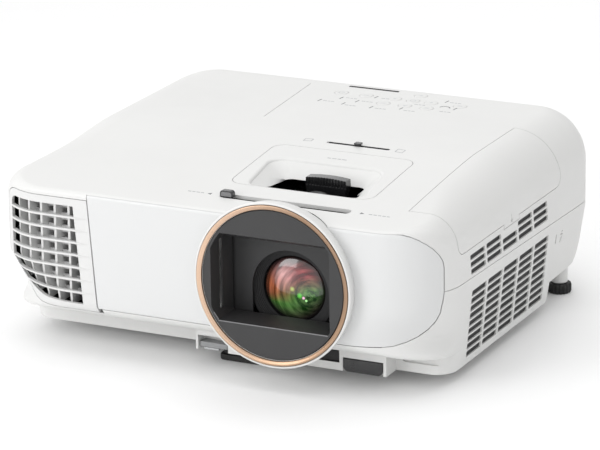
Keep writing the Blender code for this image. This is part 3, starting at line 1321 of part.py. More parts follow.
def build_speaker():
    """Small loudspeaker facing the rear on the left."""
    centre = (-SIDE_X + 46, 84.0)
    back = REAR_Y - WALL - 6
    speaker = rod("speaker", [(20.0, back), (20.0, back - 4), (12.0, back - 10), (12.0, back - 20)],
                  "Y", centre, 28)
    cut(speaker, rod("cone", [(16.5, back + 1), (6.0, back - 6)], "Y", centre, 28))
    return finish(speaker, CHARCOAL, 0.6)


def build_screws():
    """Two of the case screws, each in a pocket of the plinth's underside."""
    low = FOOT_HEIGHT + SCREW_SINK
    for side, spot in screw_spots().items():
        screw = rod("base_screw_" + side, [(SCREW_RADIUS, low), (SCREW_RADIUS, screw_top_z())], "Z",
                    spot, 18)
        for turn in (0.0, math.pi / 2):
            arm = Vector((math.cos(turn), math.sin(turn)))
            reach = arm * SCREW_CROSS_REACH
            across = Vector((-arm[1], arm[0])) * (SCREW_CROSS_WIDTH / 2)
            middle = Vector(spot)
            cross = [tuple(middle + reach + across), tuple(middle - reach + across),
                     tuple(middle - reach - across), tuple(middle + reach - across)]
            cut(screw, prism("cross", cross, "Z", low - 1, low + SCREW_CROSS_DEPTH))
        finish(screw, METAL, 0.3, metallic=0.9)


def build():
    clear_scene()
    shell = case_shell("shell")
    build_top_case(shell)
    build_bottom_case(shell)
    build_front_panel(shell)
    build_exhaust_grille(shell)
    build_side_cover(shell)
    build_adjuster_bezel(shell)
    bpy.data.objects.remove(shell, do_unlink=True)
    build_rear_panel()
    build_trim_ring()
    build_lens_hood()
    build_lens_shutter()
    build_shutter_knob()
    build_lens_barrel()
    build_front_lens()
    build_adjust_ring("focus_ring", FOCUS_RING_Y, FOCUS_TAB_WIDTH, 5.0, 4)
    build_adjust_ring("zoom_ring", ZOOM_RING_Y, ZOOM_TAB_WIDTH, TAB_DROP, 9)
    for name, spot in button_places().items():
        build_button(name, spot)
    build_keystone_knob()
    build_status_window()
    build_front_foot()
    build_release_lever()
    build_ir_window()
    for side, spot in rear_foot_spots().items():
        build_rear_foot(side, spot)
    build_ports()
    for name, (axis, centre, front) in fan_places().items():
        build_fan(name, axis, centre, front)
    build_air_filter()
    build_optics()
    build_boards()
    build_speaker()
    build_screws()


build()
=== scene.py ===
"""Looks of the home projector: detailed shells, controls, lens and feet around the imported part.

Sizes are in millimetres and are turned into metres where a mesh is made, in the same frame as
the part: origin in the middle of the footprint, -Y the way the lens looks, +Z up.
"""

import math

import bmesh
import bpy
from mathutils import Matrix, Vector
from mathutils.bvhtree import BVHTree
from mathutils.interpolate import poly_3d_calc


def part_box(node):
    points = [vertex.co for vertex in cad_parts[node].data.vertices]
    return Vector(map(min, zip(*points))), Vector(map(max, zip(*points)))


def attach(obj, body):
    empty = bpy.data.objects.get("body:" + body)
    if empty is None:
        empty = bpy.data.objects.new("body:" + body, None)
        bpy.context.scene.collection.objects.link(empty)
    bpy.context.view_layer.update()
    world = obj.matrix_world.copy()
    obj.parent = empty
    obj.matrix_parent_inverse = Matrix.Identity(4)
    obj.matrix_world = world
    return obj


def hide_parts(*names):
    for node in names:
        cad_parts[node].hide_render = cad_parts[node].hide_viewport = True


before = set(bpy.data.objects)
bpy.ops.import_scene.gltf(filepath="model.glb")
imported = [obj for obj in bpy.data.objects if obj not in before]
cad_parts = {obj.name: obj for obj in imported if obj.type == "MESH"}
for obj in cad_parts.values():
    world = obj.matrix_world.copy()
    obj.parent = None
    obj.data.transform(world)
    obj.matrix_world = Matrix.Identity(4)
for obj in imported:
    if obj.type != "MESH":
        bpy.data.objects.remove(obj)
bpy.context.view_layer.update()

MM = 0.001

# ---- Overall size -------------------------------------------------------------------------
CASE_WIDTH = 309.0
CASE_DEPTH = 276.0
CASE_TOP = 122.0
LENS_RING_PROUD = 9.0
FOOT_HEIGHT = 8.5
WALL = 2.4
SEAM = 0.35
SIDE_X = CASE_WIDTH / 2
REAR_Y = (CASE_DEPTH + LENS_RING_PROUD) / 2
FRONT_Y = REAR_Y - CASE_DEPTH

# ---- Case surface -------------------------------------------------------------------------
FRONT_DROP = 12.5
CREST_Y = 0.0
DROP_CURVE = 1.2
FRONT_CREASE = 3.0
FRONT_SHOULDER = 15.0
SIDE_SHOULDER = 32.0
SHOULDER_RUN = 95.0
REAR_SHOULDER = 24.0
FRONT_CORNER = 40.0
REAR_CORNER = 40.0
BELLY_CORNER = 60.0
PLINTH_CORNER = 14.0
PLINTH_REAR_CORNER = 6.0
BELLY_DEPTH = 40.0
BELLY_HEIGHT = 16.0
BELLY_TOP = 38.0
REAR_TUCK = 8.0
STEP_RISE = 0.8
PLINTH_REAR_Y = 69.0
SIDE_TAPER = 8.5
TAPER_TOP = 61.0
PARTING_Z = 67.0
PARTING_SLOPE = -0.0226
CORNER_STEPS = 18
SIDE_STEPS = 26
BELLY_ANGLES = (22, 29, 36, 43, 50, 57, 64, 71, 78, 84, 90)
SHOULDER_ANGLES = tuple(range(0, 91, 6))

# ---- Lens front ---------------------------------------------------------------------------
RING_X = 50.1
RING_Z = 69.3
BEZEL_RADIUS = 52.8
TRIM_OUTER = 51.1
TRIM_INNER = 48.2
TRIM_PROUD = 0.7
TRIM_DEPTH = 2.2
HOOD_RADIUS = 47.6
HOOD_SETBACK = 3.0
HOOD_RIM = 1.8
HOOD_LEFT = 8.0
HOOD_RIGHT = 89.0
HOOD_FLOOR_Z = 42.4
HOOD_ROOF_Z = 99.0
HOOD_BACK_LEFT = 12.7
HOOD_BACK_RIGHT = 77.0
HOOD_BACK_ROOF_Z = 88.7
HOOD_DEPTH = 20.7
HOOD_WALL = 3.0
BEZEL_NECK = 1.6
BEZEL_NECK_LENGTH = 8.0
BEZEL_TAPER_LENGTH = 17.0
BEZEL_TAPER = 10.5
BEZEL_WALL = 2.6
ROUND_STEPS = 160
RING_FRONT_Y = FRONT_Y - LENS_RING_PROUD
HOOD_FRONT_Y = RING_FRONT_Y + HOOD_SETBACK
HOOD_BACK_Y = HOOD_FRONT_Y + HOOD_DEPTH

# ---- Lens and its rings -------------------------------------------------------------------
GLASS_RADIUS = 20.8
BARREL_RADIUS = 30.0
BARREL_FLOOR_GAP = 3.6
BARREL_LENGTH = 88.0
SHUTTER_GAP = 0.9
SHUTTER_THICKNESS = 1.6
LENS_SETBACK = 2.8
RING_CLEARANCE = 0.5
RING_THICKNESS = 4.5
FOCUS_RING_SETBACK = 56.0
ADJUST_RING_PITCH = 17.0
ADJUST_RING_LENGTH = 12.0
FOCUS_TAB_WIDTH = 12.0
ZOOM_TAB_WIDTH = 28.0
TAB_THICKNESS = 7.0
TAB_DROP = 1.0
LENS_Z = BELLY_TOP - BELLY_HEIGHT + WALL + BARREL_FLOOR_GAP + BARREL_RADIUS

# ---- Front panel and exhaust grille --------------------------------------------------------
PANEL_DEPTH = 30.0
PANEL_SIDE_SETBACK = 3.9
PANEL_TOP_Z = 108.6
PANEL_BOTTOM_Z = 34.7
PANEL_TOP_CORNER = 24.0
PANEL_BOTTOM_CORNER = 34.0
GRILLE_SIDE_SETBACK = 9.2
GRILLE_TOP_X = -81.0
GRILLE_BOTTOM_X = -75.5
GRILLE_TOP_Z = 105.0
GRILLE_BOTTOM_Z = 31.5
GRILLE_TOP_CORNER = 10.0
GRILLE_BOTTOM_CORNER = 32.0
GRILLE_BORDER = 5.0
GRILLE_OVERLAP = 3.0
GRILLE_INNER_BORDER = 10.0
BLADE_COUNT = 7
BLADE_THICKNESS = 1.3
RIB_COUNT = 5
RIB_THICKNESS = 1.6
RIB_DEPTH = 13.0

# ---- Side vents and filter cover -----------------------------------------------------------
VENT_COLUMNS = 5
VENT_BRIDGE = 2.4
VENT_FRONT_Y = -76.0
VENT_REAR_Y = 47.0
VENT_LEAN = 0.16
UPPER_VENT_ROWS = 3
UPPER_VENT_LOW = 70.8
UPPER_VENT_HIGH = 83.4
LOWER_VENT_ROWS = 9
LOWER_VENT_LOW = 13.5
LOWER_VENT_HIGH = 59.5
VENT_BAR = 1.7
COVER_FRONT_Y = -98.0
COVER_REAR_Y = 67.0
COVER_LOW_Z = 88.0
COVER_TOP_WIDTH = 32.5
COVER_CORNER = 8.0
COVER_TAB_FRONT_Y = -27.0
COVER_TAB_REAR_Y = -2.0
COVER_TAB_DROP = 3.0

# ---- Top controls --------------------------------------------------------------------------
SHUTTER_SLOT_LEFT = 0.3
SHUTTER_SLOT_RIGHT = 88.8
SHUTTER_SLOT_SETBACK = 23.5
SHUTTER_SLOT_WIDTH = 6.4
WELL_LEFT = -4.6
WELL_RIGHT = 93.0
WELL_SETBACK = 43.5
WELL_LENGTH = 69.0
WELL_CORNER = 8.0
BOWL_DEPTH = 13.0
BOWL_WALL = 1.8
KEYSTONE_LEFT = 24.5
KEYSTONE_RIGHT = 68.6
KEYSTONE_GAP = 12.8
KEYSTONE_SLOT_WIDTH = 2.2
BUTTON_RADIUS = 4.6
BUTTON_FLANGE = 1.1
BUTTON_FLANGE_DROP = 1.3
PAD_X = 36.0
PAD_INSET = 42.5
PAD_PITCH = 13.0
STATUS_WIDTH = 36.0
STATUS_DEPTH = 2.2
STATUS_X = 0.0
STATUS_INSET = 25.5
SHUTTER_SLOT_Y = FRONT_Y + SHUTTER_SLOT_SETBACK
WELL_FRONT_Y = FRONT_Y + WELL_SETBACK
WELL_REAR_Y = WELL_FRONT_Y + WELL_LENGTH
KEYSTONE_Y = WELL_REAR_Y + KEYSTONE_GAP
PAD_Y = REAR_Y - PAD_INSET
STATUS_Y = REAR_Y - STATUS_INSET

# ---- Feet ----------------------------------------------------------------------------------
FOOT_LEG_WIDTH = 26.0
FOOT_LEG_DEPTH = 12.0
FOOT_X = 6.0
FOOT_SETBACK = 41.5
FOOT_CLEARANCE = 0.5
FOOT_Y = FRONT_Y + FOOT_SETBACK
NOSE_LEFT = -20.0
NOSE_RIGHT = 111.0
NOSE_DEPTH = 15.0
NOSE_TOP_Z = 26.0
LEVER_LENGTH = 20.0
LEVER_THICKNESS = 3.4
LEVER_Z = 10.2
IR_WIDTH = 29.0
IR_HEIGHT = 8.5
WHEEL_RADIUS = 8.0
WHEEL_HEIGHT = 6.6
WHEEL_RIBS = 18
WHEEL_RIB_DEPTH = 0.6
REAR_FOOT_INSET_X = 18.0
REAR_FOOT_INSET_Y = 32.0
STEM_RADIUS = 3.0
BOSS_RADIUS = 5.5
SCREW_RADIUS = 3.0
SCREW_HEIGHT = 1.2
SCREW_SINK = 0.1
SCREW_INSET_X = 30.0

# ---- Rear panel ----------------------------------------------------------------------------
PORT_PANEL_WIDTH = 210.0
PORT_PANEL_LOW_Z = 29.0
PORT_PANEL_HIGH_Z = 62.0


# ============================================================================================
# Mesh helpers
# ============================================================================================
def solid(name, points, faces):
    """One object from points in millimetres, with its faces turned outwards."""
    mesh = bpy.data.meshes.new(name)
    mesh.from_pydata([Vector(point) * MM for point in points], [], faces)
    shape = bmesh.new()
    shape.from_mesh(mesh)
    bmesh.ops.recalc_face_normals(shape, faces=shape.faces)
    shape.to_mesh(mesh)
    shape.free()
    item = bpy.data.objects.new(name, mesh)
    bpy.context.scene.collection.objects.link(item)
    return item


def loft(name, rings, cap_pairs=False):
    """Closed solid through rings of equal length; cap_pairs closes the ends side to side."""
    count = len(rings[0])
    points = [point for ring in rings for point in ring]
    faces = []
    for level in range(len(rings) - 1):
        for step in range(count):
            after = (step + 1) % count
            low = level * count
            high = low + count
            faces.append((low + step, low + after, high + after, high + step))
    for start in (0, (len(rings) - 1) * count):
        if cap_pairs:
            for step in range(count // 2 - 1):
                mate = count - 1 - step
                faces.append((start + step, start + step + 1, start + mate - 1, start + mate))
        else:
            faces.append(tuple(range(start, start + count)))
    return solid(name, points, faces)


def place(axis, across, up, along):
    """A point from two section coordinates and one along the axis X, Y or Z."""
    if axis == "X":
        return (along, across, up)
    if axis == "Y":
        return (across, along, up)
    return (across, up, along)


def prism(name, outline, axis, low, high):
    return taper(name, outline, outline, axis, low, high)


def taper(name, outline_low, outline_high, axis, low, high):
    ends = ((outline_low, low), (outline_high, high))
    return loft(name, [[place(axis, a, b, end) for a, b in outline] for outline, end in ends])


def box(name, low, high):
    return prism(name, rectangle(low, high), "Z", low[2], high[2])


def rectangle(low, high):
    return [(low[0], low[1]), (high[0], low[1]), (high[0], high[1]), (low[0], high[1])]


def stroke(start, end, width):
    """Outline of a straight bar of the given width between two points."""
    start, end = Vector(start), Vector(end)
    along = end - start
    side = Vector((-along[1], along[0])).normalized() * (width / 2)
    return [tuple(corner) for corner in (start + side, start - side, end - side, end + side)]


def rounded(corners, radii, steps=5):
    """A polygon whose corners, listed anticlockwise, are rounded by arcs of their own radii."""
    outline = []
    for index, corner in enumerate(corners):
        here = Vector(corner)
        before = (Vector(corners[index - 1]) - here).normalized()
        after = (Vector(corners[(index + 1) % len(corners)]) - here).normalized()
        radius = radii[index]
        if radius <= 0:
            outline.append(tuple(here))
            continue
        half = before.angle(after) / 2
        centre = here + (before + after).normalized() * (radius / math.sin(half))
        start = here + before * (radius / math.tan(half)) - centre
        sweep = math.pi - 2 * half
        for step in range(steps + 1):
            turn = Matrix.Rotation(sweep * step / steps, 2)
            outline.append(tuple(centre + turn @ start))
    return outline


def rounded_box(name, low, high, radius, axis="Z", steps=4):
    """A box whose four edges along the axis are rounded."""
    order = {"X": (1, 2, 0), "Y": (0, 2, 1), "Z": (0, 1, 2)}[axis]
    outline = rounded(rectangle((low[order[0]], low[order[1]]), (high[order[0]], high[order[1]])),
                      [radius] * 4, steps)
    return prism(name, outline, axis, low[order[2]], high[order[2]])


def circle(centre, radius, steps):
    return [(centre[0] + radius * math.cos(2 * math.pi * step / steps),
             centre[1] + radius * math.sin(2 * math.pi * step / steps)) for step in range(steps)]


def turned(name, profile, axis, centre, steps):
    """A solid of revolution: a closed profile of (radius, along), all radii above zero."""
    points = []
    for radius, along in profile:
        points += [place(axis, a, b, along) for a, b in circle(centre, radius, steps)]
    count = len(profile)
    faces = []
    for level in range(count):
        low = level * steps
        high = ((level + 1) % count) * steps
        for step in range(steps):
            after = (step + 1) % steps
            faces.append((low + step, low + after, high + after, high + step))
    return solid(name, points, faces)


def rod(name, profile, axis, centre, steps):
    """A solid round bar whose profile of (radius, along) has flat ends."""
    rings = [[place(axis, a, b, along) for a, b in circle(centre, radius, steps)]
             for radius, along in profile]
    return loft(name, rings)


def combine(target, tool, operation):
    """Apply one exact Boolean to the target and take the tool away."""
    modifier = target.modifiers.new("combine", "BOOLEAN")
    modifier.operation = operation
    modifier.solver = "EXACT"
    modifier.object = tool
    bpy.context.view_layer.update()
    settled = target.evaluated_get(bpy.context.evaluated_depsgraph_get())
    mesh = bpy.data.meshes.new_from_object(settled)
    target.modifiers.clear()
    target.data = mesh
    bpy.data.objects.remove(tool, do_unlink=True)
    return target


def cut(target, *tools):
    for tool in tools:
        combine(target, tool, "DIFFERENCE")
    return target


def join(target, *tools):
    for tool in tools:
        combine(target, tool, "UNION")
    return target


def keep(target, tool):
    return combine(target, tool, "INTERSECT")


def group(name, items):
    """Several separate closed shapes in one cutter."""
    shape = bmesh.new()
    for item in items:
        shape.from_mesh(item.data)
        bpy.data.objects.remove(item, do_unlink=True)
    mesh = bpy.data.meshes.new(name)
    shape.to_mesh(mesh)
    shape.free()
    holder = bpy.data.objects.new(name, mesh)
    bpy.context.scene.collection.objects.link(holder)
    return holder


def copy_of(item, name):
    twin = bpy.data.objects.new(name, item.data.copy())
    bpy.context.scene.collection.objects.link(twin)
    return twin


# ============================================================================================
# Case surface
# ============================================================================================
def top_z(y):
    """Height of the top surface, which is flat at the back and falls towards the front."""
    run = max(0.0, CREST_Y - y) / (CREST_Y - FRONT_Y)
    return CASE_TOP - FRONT_DROP * run ** DROP_CURVE


def plan_loop(half_width, front, rear, front_radius, rear_radius):
    """Points of a rounded rectangle with their outward normals, right half then left half."""
    right = []
    for step in range(CORNER_STEPS + 1):
        angle = math.radians(-90 + 90 * step / CORNER_STEPS)
        normal = (math.cos(angle), math.sin(angle))
        right.append((half_width - front_radius + front_radius * normal[0],
                      front + front_radius + front_radius * normal[1], normal))
    low = front + front_radius
    high = rear - rear_radius
    for step in range(1, SIDE_STEPS):
        right.append((half_width, low + (high - low) * step / SIDE_STEPS, (1.0, 0.0)))
    for step in range(CORNER_STEPS + 1):
        angle = math.radians(90 * step / CORNER_STEPS)
        normal = (math.cos(angle), math.sin(angle))
        right.append((half_width - rear_radius + rear_radius * normal[0],
                      rear - rear_radius + rear_radius * normal[1], normal))
    left = [(-x, y, (-normal[0], normal[1])) for x, y, normal in reversed(right)]
    return right + left


def shoulder_radius(y, normal):
    """Edge radius of the top: crisp along the front, round at the sides and the back."""
    run = min(1.0, max(0.0, (y - FRONT_Y) / SHOULDER_RUN))
    side = FRONT_SHOULDER + (SIDE_SHOULDER - FRONT_SHOULDER) * run * run * (3 - 2 * run)
    end = FRONT_CREASE if normal[1] < 0 else REAR_SHOULDER
    return side * normal[0] ** 2 + end * normal[1] ** 2


def case_solid(name, inset):
    """The whole case as one solid, its surface moved inwards by the inset."""
    front = FRONT_Y + inset
    rear = REAR_Y - inset
    half = SIDE_X - inset
    belly_low = BELLY_TOP - BELLY_HEIGHT
    taper_span = TAPER_TOP - FOOT_HEIGHT

    def ring(z, set_in, rear_y, front_radius, rear_radius):
        narrow = SIDE_TAPER * max(0.0, TAPER_TOP - z) / taper_span
        loop = plan_loop(half - narrow, front + set_in, rear_y,
                         front_radius - inset, rear_radius - inset)
        return [(x, y, z) for x, y, _ in loop]

    plinth_rear = PLINTH_REAR_Y - inset
    rings = [ring(FOOT_HEIGHT + inset, BELLY_DEPTH, plinth_rear, PLINTH_CORNER,
                  PLINTH_REAR_CORNER)]
    rings.append(ring(belly_low + inset, BELLY_DEPTH, plinth_rear, PLINTH_CORNER,
                      PLINTH_REAR_CORNER))
    rings.append(ring(belly_low + inset + STEP_RISE, BELLY_DEPTH, rear - REAR_TUCK, PLINTH_CORNER,
                      REAR_CORNER))
    for degrees in BELLY_ANGLES:
        angle = math.radians(degrees)
        z = BELLY_TOP - (BELLY_HEIGHT - inset) * math.cos(angle)
        open_out = math.sin(angle)
        radius = PLINTH_CORNER + (BELLY_CORNER - PLINTH_CORNER) * open_out ** 3
        rings.append(ring(z, BELLY_DEPTH * (1 - open_out), rear - REAR_TUCK * (1 - open_out),
                          radius, REAR_CORNER))
    middle = (BELLY_TOP + TAPER_TOP) / 2
    rings.append(ring(middle, 0.0, rear, (BELLY_CORNER + FRONT_CORNER) / 2, REAR_CORNER))
    rings.append(ring(TAPER_TOP, 0.0, rear, FRONT_CORNER, REAR_CORNER))
    loop = plan_loop(half, front, rear, FRONT_CORNER - inset, REAR_CORNER - inset)
    for degrees in SHOULDER_ANGLES:
        angle = math.radians(degrees)
        level = []
        for x, y, normal in loop:
            radius = max(0.4, shoulder_radius(y, normal) - inset)
            move = radius * (1 - math.cos(angle))
            spot_y = y - normal[1] * move
            drop = inset + radius * (1 - math.sin(angle))
            level.append((x - normal[0] * move, spot_y, top_z(spot_y) - drop))
        rings.append(level)
    return loft(name, rings, cap_pairs=True)


def case_shell(name):
    return cut(case_solid(name, 0.0), case_solid("case_room", WALL))


def parting_height(y, shift):
    return PARTING_Z + shift + PARTING_SLOPE * y


def half_space(name, above):
    """Everything above or below the sloping parting line."""
    shift = SEAM / 2 if above else -SEAM / 2
    reach = CASE_WIDTH
    far = CASE_TOP * 2 if above else -CASE_TOP
    ends = ((-reach, parting_height(-reach, shift)), (reach, parting_height(reach, shift)),
            (reach, far), (-reach, far))
    return prism(name, ends, "X", -reach, reach)


def panel_outline(margin):
    """Front view outline of the front panel, grown by the margin."""
    right = SIDE_X - PANEL_SIDE_SETBACK + margin
    top = PANEL_TOP_Z + margin
    low = PANEL_BOTTOM_Z - margin
    lean = (GRILLE_BOTTOM_X - GRILLE_TOP_X) / (GRILLE_TOP_Z - PANEL_BOTTOM_Z)
    corners = [(GRILLE_BOTTOM_X + lean * margin - margin, low), (right, low), (right, top),
               (GRILLE_TOP_X - lean * (PANEL_TOP_Z - GRILLE_TOP_Z + margin) - margin, top)]
    radii = [0, PANEL_BOTTOM_CORNER + margin, PANEL_TOP_CORNER + margin, 0]
    return rounded(corners, radii, steps=8)


def grille_outline(margin, right_border=0.0):
    """Front view outline of the exhaust grille, grown by the margin."""
    left = -SIDE_X + GRILLE_SIDE_SETBACK - margin
    top = GRILLE_TOP_Z + margin
    low = GRILLE_BOTTOM_Z - margin
    shift = SEAM - margin + right_border
    corners = [(left, low), (GRILLE_BOTTOM_X - shift, low), (GRILLE_TOP_X - shift, top),
               (left, top)]
    radii = [GRILLE_BOTTOM_CORNER + margin, 0, 0, GRILLE_TOP_CORNER + margin]
    return rounded(corners, radii, steps=8)


def front_prism(name, outline):
    return prism(name, outline, "Y", FRONT_Y - LENS_RING_PROUD - WALL, FRONT_Y + PANEL_DEPTH)


def bezel_cone(name, margin):
    """The round body behind the lens ring, which narrows as it goes back into the case."""
    neck_y = HOOD_FRONT_Y + BEZEL_NECK_LENGTH
    profile = [(BEZEL_RADIUS + margin, RING_FRONT_Y + TRIM_PROUD - margin),
               (BEZEL_RADIUS + margin, HOOD_FRONT_Y),
               (BEZEL_RADIUS - BEZEL_NECK + margin, neck_y),
               (BEZEL_RADIUS - BEZEL_TAPER + margin, neck_y + BEZEL_TAPER_LENGTH + margin)]
    return rod(name, profile, "Y", (RING_X, RING_Z), ROUND_STEPS)


def cover_outline(margin):
    """Side view outline of the filter cover with its finger tab, grown by the margin."""
    front = COVER_FRONT_Y - margin
    rear = COVER_REAR_Y + margin
    low = COVER_LOW_Z - margin
    tab_low = low - COVER_TAB_DROP
    tab_front = COVER_TAB_FRONT_Y - margin
    tab_rear = COVER_TAB_REAR_Y + margin
    high = CASE_TOP + WALL
    corners = [(front, low), (tab_front, low), (tab_front, tab_low), (tab_rear, tab_low),
               (tab_rear, low), (rear, low), (rear, high), (front, high)]
    radius = COVER_CORNER + margin
    return rounded(corners, [radius, 0, 0, 0, 0, radius, 0, 0], steps=5)


def cover_prism(name, margin):
    inner = SIDE_X - COVER_TOP_WIDTH - margin
    return prism(name, cover_outline(margin), "X", inner, SIDE_X + WALL)


def button_places():
    """Names and plan positions of the top buttons."""
    places = {"button_enter": (PAD_X, PAD_Y)}
    places["button_up"] = (PAD_X, PAD_Y + PAD_PITCH)
    places["button_down"] = (PAD_X, PAD_Y - PAD_PITCH)
    places["button_left"] = (PAD_X - PAD_PITCH, PAD_Y)
    places["button_right"] = (PAD_X + PAD_PITCH, PAD_Y)
    places["button_power"] = (PAD_X - 4 * PAD_PITCH, PAD_Y)
    places["button_source"] = (PAD_X - 2.6 * PAD_PITCH, PAD_Y)
    places["button_menu"] = (PAD_X - 1.2 * PAD_PITCH, PAD_Y - PAD_PITCH)
    places["button_escape"] = (PAD_X + 1.2 * PAD_PITCH, PAD_Y - PAD_PITCH)
    places["button_home"] = (PAD_X + 2.6 * PAD_PITCH, PAD_Y)
    return places


def well_outline(margin):
    low = (WELL_LEFT - margin, WELL_FRONT_Y - margin)
    high = (WELL_RIGHT + margin, WELL_REAR_Y + margin)
    return rounded(rectangle(low, high), [WELL_CORNER + margin] * 4)


def rear_foot_spots():
    """Plan positions of the right and left rear feet."""
    x = SIDE_X - REAR_FOOT_INSET_X
    y = REAR_Y - REAR_FOOT_INSET_Y
    return {"right": (x, y), "left": (-x, y)}


def nose_box(name, margin):
    """The deeper middle of the plinth, which stands forward under the lens."""
    plinth_front = FRONT_Y + BELLY_DEPTH
    return box(name, (NOSE_LEFT + margin, plinth_front - NOSE_DEPTH + margin, FOOT_HEIGHT + margin),
               (NOSE_RIGHT - margin, plinth_front + WALL / 2, NOSE_TOP_Z))


def foot_well(name, margin, low, high):
    half_x = FOOT_LEG_WIDTH / 2 + margin
    half_y = FOOT_LEG_DEPTH / 2 + margin
    return rounded_box(name, (FOOT_X - half_x, FOOT_Y - half_y, low),
                       (FOOT_X + half_x, FOOT_Y + half_y, high), 3 + margin)


def screw_spots():
    """Plan positions of the case screws in the plinth's underside."""
    x = SIDE_X - SCREW_INSET_X
    return {"right": (x, 0.0), "left": (-x, 0.0)}


def screw_top_z():
    return FOOT_HEIGHT + SCREW_SINK + SCREW_HEIGHT


def tunnel_box(name, margin):
    """Outer box of the light tunnel behind the hood's round plate, grown by the margin."""
    low_x = HOOD_BACK_LEFT - HOOD_WALL + 0.5 - margin
    high_x = HOOD_BACK_RIGHT + 2 * HOOD_WALL + margin
    front = HOOD_FRONT_Y + BEZEL_NECK_LENGTH - HOOD_RIM - margin
    return box(name, (low_x, front, HOOD_FLOOR_Z - HOOD_WALL - margin),
               (high_x, HOOD_BACK_Y, HOOD_BACK_ROOF_Z + 2 * HOOD_WALL + margin))


# ============================================================================================
# Shading helpers
# ============================================================================================
CREASE = math.radians(30)
ON_SURFACE = math.cos(math.radians(24))
SURFACE_REACH = 0.06 * MM
INNER_REACH = 0.7 * WALL * MM
INNER_FACING = -0.4
CORNER_PULL = 0.04


class SmoothSource:
    """The uncut case surface, which lends its smooth normals to the pieces cut out of it."""

    def __init__(self, item):
        mesh = item.data
        shape = bmesh.new()
        shape.from_mesh(mesh)
        bmesh.ops.triangulate(shape, faces=shape.faces)
        shape.to_mesh(mesh)
        shape.free()
        mesh.shade_smooth()
        mesh.set_sharp_from_angle(angle=CREASE)
        self.points = [vertex.co.copy() for vertex in mesh.vertices]
        self.corners = [tuple(face.vertices) for face in mesh.polygons]
        vectors = [entry.vector.copy() for entry in mesh.corner_normals]
        self.normals = [[vectors[loop] for loop in face.loop_indices] for face in mesh.polygons]
        self.tree = BVHTree.FromPolygons(self.points, self.corners)
        bpy.data.objects.remove(item, do_unlink=True)

    def normal_at(self, point):
        spot, _, face, distance = self.tree.find_nearest(point)
        weights = poly_3d_calc([self.points[corner] for corner in self.corners[face]], spot)
        smooth = Vector((0, 0, 0))
        for share, vector in zip(weights, self.normals[face]):
            smooth += share * vector
        return smooth.normalized(), distance

    def height_from(self, start, direction):
        """Where a straight line from outside first meets the surface."""
        return self.tree.ray_cast(start, direction)[0]


def borrow_normals(item, source):
    """Give the faces on the case surface its smooth normals, and the inner faces the dark material as
    painted shade.
    """
    mesh = item.data
    mesh.shade_smooth()
    normals = [Vector((0, 0, 0))] * len(mesh.loops)
    for face in mesh.polygons:
        smooth, distance = source.normal_at(face.center)
        # Faces inside the case get the black material: painted shade.
        if distance > INNER_REACH and smooth.dot(face.normal) < INNER_FACING:
            face.material_index = 1
        outside = distance < SURFACE_REACH and smooth.dot(face.normal) > ON_SURFACE
        for loop in face.loop_indices:
            normals[loop] = face.normal.copy()
            if outside:
                corner = mesh.vertices[mesh.loops[loop].vertex_index].co
                lent, _ = source.normal_at(corner.lerp(face.center, CORNER_PULL))
                if lent.dot(face.normal) > ON_SURFACE:
                    normals[loop] = lent
    mesh.normals_split_custom_set(normals)


def soften(item, width, segments=2):
    """Round the sharp edges of a plain piece."""
    item.data.shade_smooth()
    bevel = item.modifiers.new("soften", "BEVEL")
    bevel.width = width * MM
    bevel.segments = segments
    bevel.limit_method = "ANGLE"
    bevel.angle_limit = CREASE
    bevel.harden_normals = True
    bevel.use_clamp_overlap = True
    return item


def crisp(item):
    item.data.shade_smooth()
    item.data.set_sharp_from_angle(angle=CREASE)
    return item


def dress(item, material, body, slot_name, *nodes):
    """Give a piece its material and its body, and hide the nodes that it stands for; slot_name is not
    used.
    """
    item.data.materials.clear()
    item.data.materials.append(material)
    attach(item, body)
    if nodes:
        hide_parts(*nodes)
    return item


def dress_shell(item, source, look, key, body, slot_name, *nodes):
    """Dress a piece of the case: its own plastic outside, dark inside as painted shade, with smooth
    normals.
    """
    dress(item, look[key], body, slot_name, *nodes)
    item.data.materials.append(look["inner"])
    borrow_normals(item, source)
    return item


# ============================================================================================
# Materials
# ============================================================================================
COLOUR_MIX_INPUTS = (0, 6, 7)
COLOUR_MIX_OUTPUT = 2


